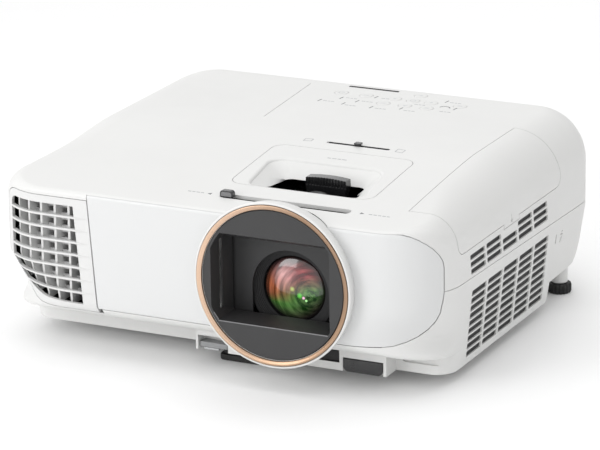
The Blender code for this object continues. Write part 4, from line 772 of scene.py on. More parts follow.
class Recipe:
    """A small helper for building one material's nodes."""

    def __init__(self, name):
        self.material = bpy.data.materials.new(name)
        self.material.use_nodes = True
        self.tree = self.material.node_tree
        self.shader = self.tree.nodes["Principled BSDF"]
        self.coordinates = self.tree.nodes.new("ShaderNodeTexCoord").outputs["Object"]

    def add(self, kind, **values):
        node = self.tree.nodes.new(kind)
        for key, value in values.items():
            if hasattr(node, key):
                setattr(node, key, value)
            else:
                node.inputs[key.replace("_", " ").title()].default_value = value
        return node

    def link(self, start, end):
        self.tree.links.new(start, end)

    def feed(self, socket, value):
        """Link a socket to another node's output, or set its constant."""
        if isinstance(value, bpy.types.NodeSocket):
            self.link(value, socket)
        elif isinstance(value, tuple):
            socket.default_value = (*value, 1.0)
        else:
            socket.default_value = value

    def noise(self, scale, detail=3.0, stretch=None):
        node = self.add("ShaderNodeTexNoise", scale=scale, detail=detail)
        spot = self.coordinates
        if stretch:
            mapping = self.tree.nodes.new("ShaderNodeMapping")
            mapping.inputs["Scale"].default_value = stretch
            self.link(spot, mapping.inputs["Vector"])
            spot = mapping.outputs["Vector"]
        self.link(spot, node.inputs["Vector"])
        return node.outputs["Fac"]

    def spread(self, value, low, high, start=0.3, end=0.7):
        node = self.tree.nodes.new("ShaderNodeMapRange")
        node.inputs["From Min"].default_value = start
        node.inputs["From Max"].default_value = end
        node.inputs["To Min"].default_value = low
        node.inputs["To Max"].default_value = high
        self.link(value, node.inputs["Value"])
        return node.outputs["Result"]

    def mix(self, share, first, second, blend="MIX"):
        node = self.tree.nodes.new("ShaderNodeMix")
        node.data_type = "RGBA"
        node.blend_type = blend
        for index, value in zip(COLOUR_MIX_INPUTS, (share, first, second)):
            self.feed(node.inputs[index], value)
        return node.outputs[COLOUR_MIX_OUTPUT]

    def ramp(self, value, *stops):
        node = self.tree.nodes.new("ShaderNodeValToRGB")
        band = node.color_ramp
        while len(band.elements) < len(stops):
            band.elements.new(0.5)
        for element, (place_at, colour) in zip(band.elements, stops):
            element.position = place_at
            element.color = (*colour, 1.0)
        self.link(value, node.inputs["Fac"])
        return node.outputs["Color"]

    def math(self, operation, first, second=0.0):
        node = self.tree.nodes.new("ShaderNodeMath")
        node.operation = operation
        for socket, value in zip(node.inputs, (first, second)):
            self.feed(socket, value)
        return node.outputs[0]

    def minus(self, first, second):
        return self.math("SUBTRACT", first, second)

    def times(self, first, second):
        return self.math("MULTIPLY", first, second)

    def plus(self, first, second):
        return self.math("ADD", first, second)

    def length(self, across, up):
        """Length of the line from the origin to a point."""
        return self.math("SQRT", self.plus(self.times(across, across), self.times(up, up)))

    def from_axis(self, x, z):
        """Coordinates across and up from an axis along Y, in metres."""
        split = self.tree.nodes.new("ShaderNodeSeparateXYZ")
        self.link(self.coordinates, split.inputs["Vector"])
        return self.minus(split.outputs["X"], x * MM), self.minus(split.outputs["Z"], z * MM)

    def bump(self, height, strength, depth, rounding=0.0):
        """Relief of a given depth in millimetres, on edges rounded in the shading if asked."""
        node = self.tree.nodes.new("ShaderNodeBump")
        node.inputs["Strength"].default_value = strength
        node.inputs["Distance"].default_value = depth * MM
        self.link(height, node.inputs["Height"])
        if rounding:
            bevel = self.tree.nodes.new("ShaderNodeBevel")
            bevel.samples = 4
            bevel.inputs["Radius"].default_value = rounding * MM
            self.link(bevel.outputs["Normal"], node.inputs["Normal"])
        self.link(node.outputs["Normal"], self.shader.inputs["Normal"])

    def set(self, **values):
        names = {"colour": "Base Color", "roughness": "Roughness", "metallic": "Metallic",
                 "ior": "IOR", "coat": "Coat Weight", "coat_roughness": "Coat Roughness",
                 "sheen": "Sheen Weight", "transmission": "Transmission Weight",
                 "anisotropic": "Anisotropic", "specular": "Specular IOR Level",
                 "emission": "Emission Color", "glow": "Emission Strength"}
        for key, value in values.items():
            self.feed(self.shader.inputs[names[key]], value)
        return self.material


def plastic(name, colour, roughness, grain=2600.0, relief=0.012, drift=0.03, specular=0.5, coat=0.0):
    """Moulded plastic: spark-eroded grain, patchy gloss, faint flow marks and edges rounded in the
    shading.
    """
    recipe = Recipe(name)
    cloud = recipe.noise(9.0)
    grainy = recipe.noise(grain, 2.0)
    low = tuple(value * (1 - drift) for value in colour)
    base = recipe.mix(recipe.spread(cloud, 0.0, 1.0), low, colour)
    specks = recipe.noise(420.0, 6.0)
    dusty = tuple(value * 0.94 + 0.004 for value in colour)
    base = recipe.mix(recipe.spread(specks, 0.0, 0.35, 0.62, 0.8), base, dusty)
    gloss = recipe.spread(recipe.noise(55.0, 4.0), roughness - 0.04, roughness + 0.05)
    recipe.bump(grainy, 0.35, relief, rounding=0.35)
    return recipe.set(colour=base, roughness=gloss, specular=specular, coat=coat, coat_roughness=0.12)


def metal(name, colour, roughness, stretch, relief=0.004):
    """Machined or plated metal with fine drawn lines and a little tarnish."""
    recipe = Recipe(name)
    lines = recipe.noise(900.0, 4.0, stretch)
    dull = tuple(value * 0.82 for value in colour)
    base = recipe.mix(recipe.spread(recipe.noise(40.0), 0.0, 1.0), dull, colour)
    gloss = recipe.spread(lines, roughness - 0.05, roughness + 0.08)
    recipe.bump(lines, 0.4, relief, rounding=0.15)
    return recipe.set(colour=base, roughness=gloss, metallic=1.0)


# Direction round the ring where the painted highlight is brightest.
COPPER_LIT_SIDE = math.radians(165)


def copper():
    """Rose copper ring, turned so that its marks run round it, with a painted highlight and painted
    shade.
    """
    recipe = Recipe("turned_copper")
    across, up = recipe.from_axis(RING_X, RING_Z)
    radius = recipe.length(across, up)
    grooves = recipe.add("ShaderNodeTexNoise", scale=5200.0, detail=2.0)
    grooves.noise_dimensions = "1D"
    recipe.link(radius, grooves.inputs["W"])
    turn = recipe.math("ARCTAN2", up, across)
    # Painted highlight on the lit side, fading to painted shade round the ring, plus a little random
    # tone from a noise.
    lit = recipe.math("COSINE", recipe.minus(turn, COPPER_LIT_SIDE))
    painted_highlight_and_tone = recipe.plus(recipe.spread(lit, 0.0, 0.85, -0.2, 1.0),
                        recipe.spread(recipe.noise(22.0), 0.0, 0.15))
    base = recipe.mix(painted_highlight_and_tone, (0.36, 0.235, 0.155), (0.80, 0.57, 0.42))
    gloss = recipe.spread(grooves.outputs["Fac"], 0.24, 0.36)
    recipe.bump(grooves.outputs["Fac"], 0.5, 0.006)
    return recipe.set(colour=base, roughness=gloss, metallic=1.0, anisotropic=0.4)


def rubber(name, colour, roughness):
    recipe = Recipe(name)
    pores = recipe.noise(1500.0, 5.0)
    dust = recipe.spread(recipe.noise(130.0, 6.0), 0.0, 0.5, 0.5, 0.75)
    pale = tuple(value + 0.03 for value in colour)
    recipe.bump(pores, 0.6, 0.03, rounding=0.3)
    return recipe.set(colour=recipe.mix(dust, colour, pale),
                      roughness=recipe.spread(pores, roughness - 0.08, roughness + 0.08))


# Painted reflections of the coating, in shares of the glass radius from the lens axis: painted glints as
# x, z, size and colour.
WHORL_X = 0.55
WHORL_Z = -0.15
PAINTED_GLINTS = ((-0.02, 0.02, 0.09, (0.35, 0.4, 0.1)), (0.34, -0.22, 0.06, (0.9, 0.5, 0.7)),
          (0.22, -0.16, 0.1, (0.1, 0.5, 0.06)), (0.42, -0.3, 0.05, (0.5, 1.0, 0.4)))


def painted_lens_reflections():
    """Painted reflections of a multi-layer coating: red above, amber at the left, green below, in fine
    curved streaks.
    """
    recipe = Recipe("painted_lens_reflections")
    across, up = (recipe.math("DIVIDE", offset, GLASS_RADIUS * MM)
                  for offset in recipe.from_axis(RING_X, LENS_Z))

    def distance_from(x, z):
        return recipe.length(recipe.minus(across, x), recipe.minus(up, z))

    slant = recipe.plus(recipe.times(up, 0.5), recipe.times(across, -0.18))
    sway = recipe.times(recipe.minus(recipe.noise(70.0, 3.0), 0.5), 0.35)
    level = recipe.plus(recipe.plus(slant, 0.5), sway)
    painted_reflection = recipe.ramp(level, (0.0, (0.0, 0.006, 0.001)), (0.22, (0.004, 0.05, 0.004)),
                       (0.38, (0.012, 0.11, 0.006)), (0.52, (0.05, 0.035, 0.006)),
                       (0.68, (0.17, 0.012, 0.02)), (0.92, (0.05, 0.003, 0.006)))
    turn = recipe.math("ARCTAN2", recipe.minus(up, WHORL_Z), recipe.minus(across, WHORL_X))
    place_on = recipe.tree.nodes.new("ShaderNodeCombineXYZ")
    recipe.link(recipe.times(distance_from(WHORL_X, WHORL_Z), 8.0), place_on.inputs["X"])
    recipe.link(recipe.math("COSINE", turn), place_on.inputs["Y"])
    recipe.link(recipe.math("SINE", turn), place_on.inputs["Z"])
    lines = recipe.add("ShaderNodeTexNoise", scale=1.0, detail=4.0)
    recipe.link(place_on.outputs["Vector"], lines.inputs["Vector"])
    streaks = recipe.spread(lines.outputs["Fac"], 0.0, 1.0, 0.38, 0.68)
    left = recipe.spread(across, 1.0, 0.0, -0.75, 0.1)
    band = recipe.spread(recipe.math("ABSOLUTE", recipe.minus(up, 0.12)), 1.0, 0.0, 0.1, 0.6)
    amber = recipe.times(recipe.times(left, band), 0.8)
    painted_reflection = recipe.mix(amber, painted_reflection, (0.34, 0.10, 0.03))
    dim = recipe.mix(1.0, painted_reflection, (0.45, 0.42, 0.4), "MULTIPLY")
    vivid = recipe.mix(0.12, recipe.mix(1.0, painted_reflection, (1.9, 1.7, 1.7), "MULTIPLY"), (0.5, 0.36, 0.3))
    painted_reflection = recipe.mix(streaks, dim, vivid)
    # Pinkish painted highlight at the upper left.
    glow = recipe.spread(distance_from(-0.34, 0.42), 0.85, 0.0, 0.0, 0.5)
    soft = recipe.plus(recipe.times(streaks, 0.7), 0.3)
    painted_reflection = recipe.mix(recipe.times(glow, soft), painted_reflection, (0.62, 0.36, 0.36))
    # Small painted glints.
    for x, z, size, colour in PAINTED_GLINTS:
        spot = recipe.spread(distance_from(x, z), 1.0, 0.0, size * 0.3, size)
        painted_reflection = recipe.mix(spot, painted_reflection, colour)
    # Painted shade towards the rim of the glass.
    edge = recipe.spread(distance_from(0.0, 0.0), 0.0, 1.0, 0.68, 0.98)
    painted_reflection = recipe.mix(edge, painted_reflection, (0.004, 0.003, 0.003))
    # The same colour is also given as emission, so the lens glows though it is no lamp.
    return recipe.set(colour=painted_reflection, emission=painted_reflection, glow=0.6, roughness=0.15, coat=1.0,
                      coat_roughness=0.05)


def clear_glass():
    recipe = Recipe("clear_glass")
    recipe.bump(recipe.noise(600.0), 0.02, 0.001)
    smear = recipe.spread(recipe.noise(90.0, 5.0), 0.02, 0.06)
    return recipe.set(colour=(0.97, 0.98, 1.0), roughness=smear, transmission=1.0, ior=1.5)


def circuit_board():
    recipe = Recipe("circuit_board")
    cells = recipe.add("ShaderNodeTexBrick", scale=120.0)
    recipe.link(recipe.coordinates, cells.inputs["Vector"])
    tracks = recipe.spread(cells.outputs["Fac"], 0.0, 1.0, 0.0, 1.0)
    base = recipe.mix(tracks, (0.012, 0.10, 0.045), (0.03, 0.17, 0.08))
    recipe.bump(tracks, 0.3, 0.03)
    gloss = recipe.spread(recipe.noise(300.0), 0.35, 0.5)
    return recipe.set(colour=base, roughness=gloss)


PLASTICS = {
    "case": ("case_plastic", (0.73, 0.73, 0.72), 0.40, {}),
    "panel": ("panel_plastic", (0.69, 0.695, 0.695), 0.36, {"drift": 0.02}),
    "grille": ("grille_plastic", (0.70, 0.70, 0.695), 0.42, {}),
    "slat": ("slat_plastic", (0.66, 0.66, 0.66), 0.55, {}),
    "rear": ("rear_plastic", (0.55, 0.56, 0.56), 0.48, {}),
    "hood": ("hood_plastic", (0.034, 0.034, 0.035), 0.52, {"grain": 1800.0, "relief": 0.02}),
    # Black for the dark parts, also laid as painted shade on the case's inner faces, behind its slots
    # and in its recesses.
    "inner": ("black_plastic_and_painted_shade", (0.012, 0.012, 0.013), 0.62, {"grain": 1800.0}),
    "gloss": ("gloss_plastic", (0.010, 0.010, 0.011), 0.25, {"relief": 0.003, "coat": 0.6}),
    "lever": ("lever_plastic", (0.30, 0.305, 0.31), 0.42, {}),
    "button": ("button_plastic", (0.71, 0.71, 0.70), 0.36, {}),
    "ink": ("ink_print", (0.16, 0.165, 0.17), 0.5, {"relief": 0.004}),
    "pale_ink": ("pale_ink_print", (0.42, 0.43, 0.44), 0.5, {"relief": 0.004}),
    "faint_ink": ("faint_ink_print", (0.60, 0.61, 0.62), 0.5, {"relief": 0.004}),
    # Grey for the painted highlight on the hood's edge, and for the shutter knob's face.
    "edge": ("edge_plastic", (0.20, 0.20, 0.205), 0.35, {}),
    "blue": ("connector_plastic", (0.02, 0.045, 0.22), 0.45, {}),
}


def make_materials():
    """Every material by its short name."""
    made = {key: plastic(name, colour, roughness, **more)
            for key, (name, colour, roughness, more) in PLASTICS.items()}
    made["filter"] = rubber("filter_fibre", (0.012, 0.012, 0.013), 0.95)
    made["rubber"] = rubber("foot_rubber", (0.012, 0.012, 0.012), 0.62)
    made["copper"] = copper()
    made["steel"] = metal("plated_steel", (0.58, 0.59, 0.60), 0.32, (1.0, 8.0, 1.0))
    made["cast"] = metal("cast_metal", (0.50, 0.51, 0.52), 0.55, (1.0, 1.0, 1.0), relief=0.03)
    made["mirror"] = metal("reflector_metal", (0.85, 0.86, 0.88), 0.12, (1.0, 1.0, 6.0))
    made["coating"] = painted_lens_reflections()
    made["glass"] = clear_glass()
    made["board"] = circuit_board()
    return made


# ============================================================================================
# Case shells
# ============================================================================================
SIDE_SLOT_RADIUS = 0.9
SIDE_SLOT_DEPTH = SIDE_TAPER + 2 * WALL + 4.0
SHEAR_STEPS = 3
GROOVE_WIDTH = 0.4
GROOVE_DEPTH = 0.5
TOP_GROOVE = ((-38.0, 28.0), (-45.0, 113.0))


def slot_row(low_y, high_y, low_z, high_z):
    """One side slot, whose ends lean like the block it belongs to."""
    def lean(z):
        return VENT_LEAN * (LOWER_VENT_HIGH - z)
    corners = [(low_y + lean(low_z), low_z), (high_y + lean(low_z), low_z),
               (high_y + lean(high_z), high_z), (low_y + lean(high_z), high_z)]
    outline = rounded(corners, [SIDE_SLOT_RADIUS] * 4, steps=SHEAR_STEPS)
    return prism("slot", outline, "X", SIDE_X - SIDE_SLOT_DEPTH, SIDE_X + WALL)


SLOT_BAR = 1.25
SCREEN_DEPTH = 1.1
SCREEN_THICKNESS = 0.8


def slot_block(rows, low, high, skip):
    """A block of side slots; skip(row, column) leaves a bridge in their place."""
    pitch_z = (high - low + VENT_BAR) / rows
    pitch_y = (VENT_REAR_Y - VENT_FRONT_Y + VENT_BRIDGE) / VENT_COLUMNS
    slots = []
    for row in range(rows):
        z = low + pitch_z * row
        for column in range(VENT_COLUMNS):
            if skip(row, column):
                continue
            y = VENT_FRONT_Y + pitch_y * column
            slots.append(slot_row(y, y + pitch_y - VENT_BRIDGE, z, z + pitch_z - SLOT_BAR))
    return group("slots", slots)


def upper_slots():
    return slot_block(UPPER_VENT_ROWS, UPPER_VENT_LOW, UPPER_VENT_HIGH,
                      lambda row, column: row == UPPER_VENT_ROWS - 1 and column == 2)


def lower_slots():
    return slot_block(LOWER_VENT_ROWS, LOWER_VENT_LOW, LOWER_VENT_HIGH, lambda row, column: False)


def build_shade_screen(name, slots, look):
    """Black sheet that fills the back of the slots: painted shade for the dark inside of the vents."""
    screen = cut(case_solid(name, SCREEN_DEPTH), case_solid("core", SCREEN_DEPTH + SCREEN_THICKNESS))
    keep(screen, slots)
    dress(crisp(screen), look["inner"], "case", "hood_black")


def rounded_slot(name, left, right, y, width, low_z):
    """A slot in the top with round ends."""
    half = width / 2
    outline = rounded(rectangle((left, y - half), (right, y + half)), [half * 0.98] * 4, steps=6)
    return prism(name, outline, "Z", low_z, CASE_TOP + WALL)


def ridge(name, start, end, width, low, high):
    """A straight thin bar between two plan points, used to cut a groove."""
    return prism(name, stroke(start, end, width), "Z", low, high)


PANEL_TOP_GAP = 0.05
BUTTON_GAP = 0.12
KEYSTONE_ROOM_WIDTH = KEYSTONE_SLOT_WIDTH + 0.6
STATUS_CORNER = 1.0


def build_top(shell, source, look):
    """Upper shell with the openings of its controls, its side slots and the groove across it."""
    case = keep(copy_of(shell, "top_shell"), half_space("upper", True))
    limit = PANEL_TOP_Z - SEAM / 2 + PANEL_TOP_GAP
    cut(case, front_prism("panel_room", [(x, min(z, limit)) for x, z in panel_outline(SEAM / 2)]))
    cut(case, front_prism("grille_room", grille_outline(SEAM / 2, -GRILLE_OVERLAP)))
    cut(case, bezel_cone("bezel_room", SEAM))
    cut(case, cover_prism("cover_room", SEAM / 2))
    cut(case, prism("well_room", well_outline(SEAM / 2), "Z", CASE_TOP - BOWL_DEPTH * 2,
                    CASE_TOP + WALL))
    cut(case, rounded_slot("slot", SHUTTER_SLOT_LEFT, SHUTTER_SLOT_RIGHT, SHUTTER_SLOT_Y,
                           SHUTTER_SLOT_WIDTH, RING_Z))
    cut(case, rounded_slot("slot", KEYSTONE_LEFT, KEYSTONE_RIGHT, KEYSTONE_Y, KEYSTONE_ROOM_WIDTH,
                           CASE_TOP - 3 * WALL))
    low_z = CASE_TOP - 2 * WALL
    holes = [prism("hole", circle(spot, BUTTON_RADIUS + BUTTON_GAP, 48), "Z", low_z, CASE_TOP + WALL)
             for spot in button_places().values()]
    reach_x = STATUS_WIDTH / 2 + SEAM
    reach_y = STATUS_DEPTH / 2 + SEAM
    holes.append(prism("hole", rounded(rectangle((STATUS_X - reach_x, STATUS_Y - reach_y),
                                                 (STATUS_X + reach_x, STATUS_Y + reach_y)),
                                       [STATUS_CORNER] * 4), "Z", low_z, CASE_TOP + WALL))
    cut(case, group("holes", holes))
    cut(case, upper_slots())
    build_shade_screen("upper_shade_screen", upper_slots(), look)
    cut(case, ridge("groove", *TOP_GROOVE, GROOVE_WIDTH, CASE_TOP - GROOVE_DEPTH, CASE_TOP + WALL))
    return dress_shell(case, source, look, "case", "case", "case_white", "top_case")


PLINTH_FRONT_Y = FRONT_Y + BELLY_DEPTH
NOSE_FRONT_Y = PLINTH_FRONT_Y - NOSE_DEPTH
BOSS_EDGE = 0.6
BOSS_REACH = 20.0
BORE_REACH = 22.0
BORE_LEAD = 2.0
LEVER_ROOM_INSET = 1.5
LEVER_ROOM_RISE = 4.5
LEVER_ROOM_GAP = 2.0
IR_END_WALL = 2.0
IR_ROOM_DEPTH = 3.0
PORT_ROOM_CORNER = 2.0
SIDE_MARK_SLOT_Y = 62.0
SIDE_MARK_SLOT_LENGTH = 1.1
SIDE_SIGN_DEPTH = 0.8
SCOOP_DEPTH = 1.6
SCOOP_CORNER = 2.0
SIDE_MARK_SLOT_LOW = 49.0
SIDE_MARK_SLOT_HIGH = 55.5
SCOOP_FRONT_X = (115.0, 142.0)
SCOOP_Z = (14.5, 22.0)
SIDE_SIGN = (rectangle((70.2, 47.6), (71.0, 51.4)), rectangle((72.2, 47.6), (73.0, 51.4)),
             rectangle((70.2, 52.8), (73.6, 53.6)), rectangle((70.8, 54.8), (73.0, 55.5)))
COVER_ARROW = (((-0.3, 0.3), (0.3, 0.3), (0.3, 3.6), (-0.3, 3.6)),
               ((0.0, -2.0), (1.9, 0.0), (-1.9, 0.0)))
NOSE_RECESS = (58.0, 79.3)
NOSE_RECESS_Z = (13.5, NOSE_TOP_Z + 2.0)
NOSE_RECESS_DEPTH = 6.0


def build_nose_recess(look):
    """Dark lining of the recess beside the receiver window: painted shade inside the recess."""
    back = NOSE_FRONT_Y + NOSE_RECESS_DEPTH - SEAM
    shade_lining = box("recess_shade_lining", (NOSE_RECESS[0] + SEAM, NOSE_FRONT_Y + 1.0, NOSE_RECESS_Z[0] + SEAM),
                 (NOSE_RECESS[1] - SEAM, back, NOSE_TOP_Z - 2.5))
    soften(shade_lining, 0.4)
    dress(shade_lining, look["inner"], "case", "gloss_black")


def add_bosses(case):
    """Bosses over the rear feet, bored for their stems."""
    belly_low = BELLY_TOP - BELLY_HEIGHT
    for spot in rear_foot_spots().values():
        join(case, rod("boss", [(BOSS_RADIUS - BOSS_EDGE, WHEEL_HEIGHT + SEAM),
                                (BOSS_RADIUS, WHEEL_HEIGHT + SEAM + BOSS_EDGE),
                                (BOSS_RADIUS, belly_low + BOSS_REACH)], "Z", spot, 64))
        cut(case, rod("bore", [(STEM_RADIUS + SEAM, WHEEL_HEIGHT - BORE_LEAD),
                               (STEM_RADIUS + SEAM, belly_low + BORE_REACH)], "Z", spot, 32))


def cut_nose_rooms(case):
    """Rooms for the front foot, its release lever and the receiver window."""
    cut(case, foot_well("foot_room", FOOT_CLEARANCE, FOOT_HEIGHT - WALL, NOSE_TOP_Z + WALL))
    lever_x = NOSE_LEFT + LEVER_ROOM_INSET
    cut(case, box("lever_room", (lever_x, NOSE_FRONT_Y - WALL, FOOT_HEIGHT - WALL),
                  (lever_x + LEVER_LENGTH + 2 * FOOT_CLEARANCE,
                   FOOT_Y - FOOT_LEG_DEPTH / 2 - LEVER_ROOM_GAP,
                   LEVER_Z + LEVER_THICKNESS + LEVER_ROOM_RISE)))
    ir_low = (NOSE_RIGHT - IR_WIDTH - SEAM, NOSE_FRONT_Y - WALL, FOOT_HEIGHT - WALL)
    ir_high = (NOSE_RIGHT - IR_END_WALL, NOSE_FRONT_Y + IR_ROOM_DEPTH, FOOT_HEIGHT + IR_HEIGHT + SEAM)
    cut(case, box("ir_room", ir_low, ir_high))


def cut_side_marks(case):
    """Hand slot in the side, scoop in the front of the plinth and the signs pressed into the side."""
    side = SIDE_X + WALL
    inner = SIDE_X - SIDE_TAPER - WALL
    cut(case, box("hand_slot", (inner, SIDE_MARK_SLOT_Y, SIDE_MARK_SLOT_LOW),
                  (side, SIDE_MARK_SLOT_Y + SIDE_MARK_SLOT_LENGTH, SIDE_MARK_SLOT_HIGH)))
    scoop = rounded(rectangle((SCOOP_FRONT_X[0], SCOOP_Z[0]), (SCOOP_FRONT_X[1], SCOOP_Z[1])),
                    [SCOOP_CORNER] * 4)
    cut(case, prism("scoop", scoop, "Y", PLINTH_FRONT_Y - WALL, PLINTH_FRONT_Y + SCOOP_DEPTH))
    for outline in SIDE_SIGN:
        cut(case, prism("line", outline, "X", inner + SIDE_SIGN_DEPTH, side))


def build_bottom(shell, source, look):
    """Lower shell with its plinth, the rooms of what it carries, and its side slots."""
    case = keep(copy_of(shell, "bottom_shell"), half_space("lower", False))
    join(case, nose_box("nose", 0.0))
    cut(case, front_prism("panel_room", panel_outline(SEAM / 2)))
    cut(case, front_prism("grille_room", grille_outline(SEAM / 2, -GRILLE_OVERLAP)))
    cut(case, bezel_cone("bezel_room", SEAM))
    add_bosses(case)
    cut_nose_rooms(case)
    half_panel = PORT_PANEL_WIDTH / 2
    cut(case, rounded_box("port_room", (-half_panel, REAR_Y - 2 * REAR_TUCK - WALL, PORT_PANEL_LOW_Z),
                          (half_panel, REAR_Y + WALL, PORT_PANEL_HIGH_Z), PORT_ROOM_CORNER, axis="Y"))
    cut(case, lower_slots())
    build_shade_screen("lower_shade_screen", lower_slots(), look)
    pockets = [rod("pocket", [(SCREW_RADIUS + SEAM, FOOT_HEIGHT - WALL),
                              (SCREW_RADIUS + SEAM, screw_top_z() + SEAM)], "Z", spot, 36)
               for spot in screw_spots().values()]
    cut(case, group("pockets", pockets))
    cut_side_marks(case)
    cut(case, box("recess", (NOSE_RECESS[0], NOSE_FRONT_Y - WALL, NOSE_RECESS_Z[0]),
                  (NOSE_RECESS[1], NOSE_FRONT_Y + NOSE_RECESS_DEPTH, NOSE_RECESS_Z[1])))
    build_nose_recess(look)
    dress_shell(case, source, look, "case", "case", "case_white", "bottom_case")


def build_front(shell, source, look):
    """Front panel, with room cut for the round surround that stands out of it, which is a piece of its
    own.
    """
    panel = keep(copy_of(shell, "front_panel_shell"), front_prism("outline", panel_outline(-SEAM / 2)))
    cut(panel, bezel_cone("bezel_room", 0.0))
    cut(panel, tunnel_box("tunnel_room", SEAM + 1))
    return dress_shell(panel, source, look, "panel", "case", "panel_white", "front_panel")


SURROUND_LIP = 0.8
BLADE_ROOM_DROP = 4.0
EDGE_ANGLES = [math.radians(degrees) for degrees in range(0, 91, 15)]


def build_surround(look):
    """Hollow cone round the hood, with a soft lip and a seat for the trim ring at its front."""
    inner = HOOD_RADIUS + SEAM
    front = RING_FRONT_Y + TRIM_PROUD
    neck_y = HOOD_FRONT_Y + BEZEL_NECK_LENGTH
    back_y = neck_y + BEZEL_TAPER_LENGTH
    back_radius = BEZEL_RADIUS - BEZEL_TAPER
    seat_radius = TRIM_OUTER + SEAM
    seat_y = RING_FRONT_Y + TRIM_DEPTH + SEAM
    profile = []
    for angle in EDGE_ANGLES:
        profile.append((BEZEL_RADIUS - SURROUND_LIP * (1 - math.sin(angle)),
                        front + SURROUND_LIP * (1 - math.cos(angle))))
    profile += [(BEZEL_RADIUS, HOOD_FRONT_Y), (BEZEL_RADIUS - BEZEL_NECK, neck_y),
                (back_radius, back_y), (back_radius - BEZEL_WALL, back_y), (inner, neck_y),
                (inner, seat_y), (seat_radius, seat_y), (seat_radius, front)]
    surround = turned("lens_surround", profile, "Y", (RING_X, RING_Z), ROUND_STEPS)
    cut(surround, tunnel_box("tunnel_room", SEAM + 1))
    blade_low = (RING_X - BEZEL_RADIUS, HOOD_BACK_Y - SEAM, HOOD_FLOOR_Z - BLADE_ROOM_DROP)
    cut(surround, box("blade_room", blade_low, (RING_X + BEZEL_RADIUS, REAR_Y, CASE_TOP)))
    reach = BEZEL_RADIUS + WALL
    slot_front = SHUTTER_SLOT_Y - SHUTTER_SLOT_WIDTH / 2 - SEAM
    cut(surround, box("behind_roof", (RING_X - reach, slot_front, RING_Z - reach),
                      (RING_X + reach, REAR_Y, CASE_TOP + reach)))
    crisp(surround)
    return dress(surround, look["case"], "case", "panel_white")


BLADE_SPIKE = 8.0
BLADE_SPIKE_PROUD = 0.35
RIB_SETBACK = 2.9
SLAT_SETBACK = 10.0
SLAT_THICKNESS = 1.2
SLAT_GAP = 3.4
SLAT_INSET = 7.0
SLAT_SHIFT = 6.0
RIB_SHIFT = 2.0
RIB_END_GAP = 1.5
RIB_EXTRA_DEPTH = 12.0
SPIKE_ROOT = 1.5
SPIKE_TIP = 0.15


def blade_heights():
    low = GRILLE_BOTTOM_Z + GRILLE_BORDER
    high = GRILLE_TOP_Z - GRILLE_BORDER
    pitch = (high - low + BLADE_THICKNESS) / (BLADE_COUNT + 1)
    return [low + pitch * index - BLADE_THICKNESS for index in range(1, BLADE_COUNT + 1)], pitch


def set_back(name, shift_x, shift_y):
    """The uncut case, moved back so that its front can trim what stands behind the grille."""
    body = case_solid(name, 0.0)
    body.data.transform(Matrix.Translation(Vector((shift_x, shift_y, 0.0)) * MM))
    return body


def build_spikes(heights, look):
    """Thin points of the blades, which lie on the grille's right border."""
    spikes = []
    slope = (GRILLE_BOTTOM_X - GRILLE_TOP_X) / (GRILLE_TOP_Z - GRILLE_BOTTOM_Z)
    for z in heights:
        start = GRILLE_TOP_X + slope * (GRILLE_TOP_Z - z) - GRILLE_INNER_BORDER
        middle = z + BLADE_THICKNESS / 2
        face = [(start - SPIKE_ROOT, z), (start + BLADE_SPIKE, middle - SPIKE_TIP),
                (start + BLADE_SPIKE, middle + SPIKE_TIP), (start - SPIKE_ROOT, z + BLADE_THICKNESS)]
        rings = [[(x, FRONT_Y - BLADE_SPIKE_PROUD * (1 - max(0.0, x - start) / BLADE_SPIKE), height)
                  for x, height in face]]
        rings.append([(x, FRONT_Y + 0.3, height) for x, height in face])
        spikes.append(loft("spike", rings))
    dress(crisp(group("grille_spikes", spikes)), look["grille"], "case", "panel_white")


def build_ribs(left, right, look):
    """Upright ribs behind the blades, trimmed to the curve of the case."""
    ribs = []
    for index in range(RIB_COUNT):
        x = left + (right - left) * (index + 0.5) / RIB_COUNT
        ribs.append(box("rib", (x - RIB_THICKNESS / 2, FRONT_Y, GRILLE_BOTTOM_Z + RIB_END_GAP),
                        (x + RIB_THICKNESS / 2, FRONT_Y + RIB_SETBACK + RIB_DEPTH + RIB_EXTRA_DEPTH,
                         GRILLE_TOP_Z - RIB_END_GAP)))
    piece = keep(group("grille_ribs", ribs), set_back("rib_room", RIB_SHIFT, RIB_SETBACK))
    keep(piece, front_prism("rib_outline", grille_outline(-GRILLE_BORDER / 2)))
    dress(crisp(piece), look["grille"], "case", "panel_white")


def build_slats(heights, pitch, left, right, look):
    """Curved slats behind the ribs, one in the gap above each blade."""
    slats = [box("slat", (left + SLAT_INSET, FRONT_Y, z + SLAT_GAP),
                 (right, FRONT_Y + PANEL_DEPTH, z + pitch)) for z in [heights[0] - pitch] + heights]
    piece = keep(group("grille_slats", slats), set_back("slat_room", SLAT_SHIFT, SLAT_SETBACK))
    cut(piece, set_back("slat_back", SLAT_SHIFT, SLAT_SETBACK + SLAT_THICKNESS))
    keep(piece, front_prism("slat_outline", grille_outline(-GRILLE_BORDER / 2)))
    dress(crisp(piece), look["slat"], "case", "panel_white")


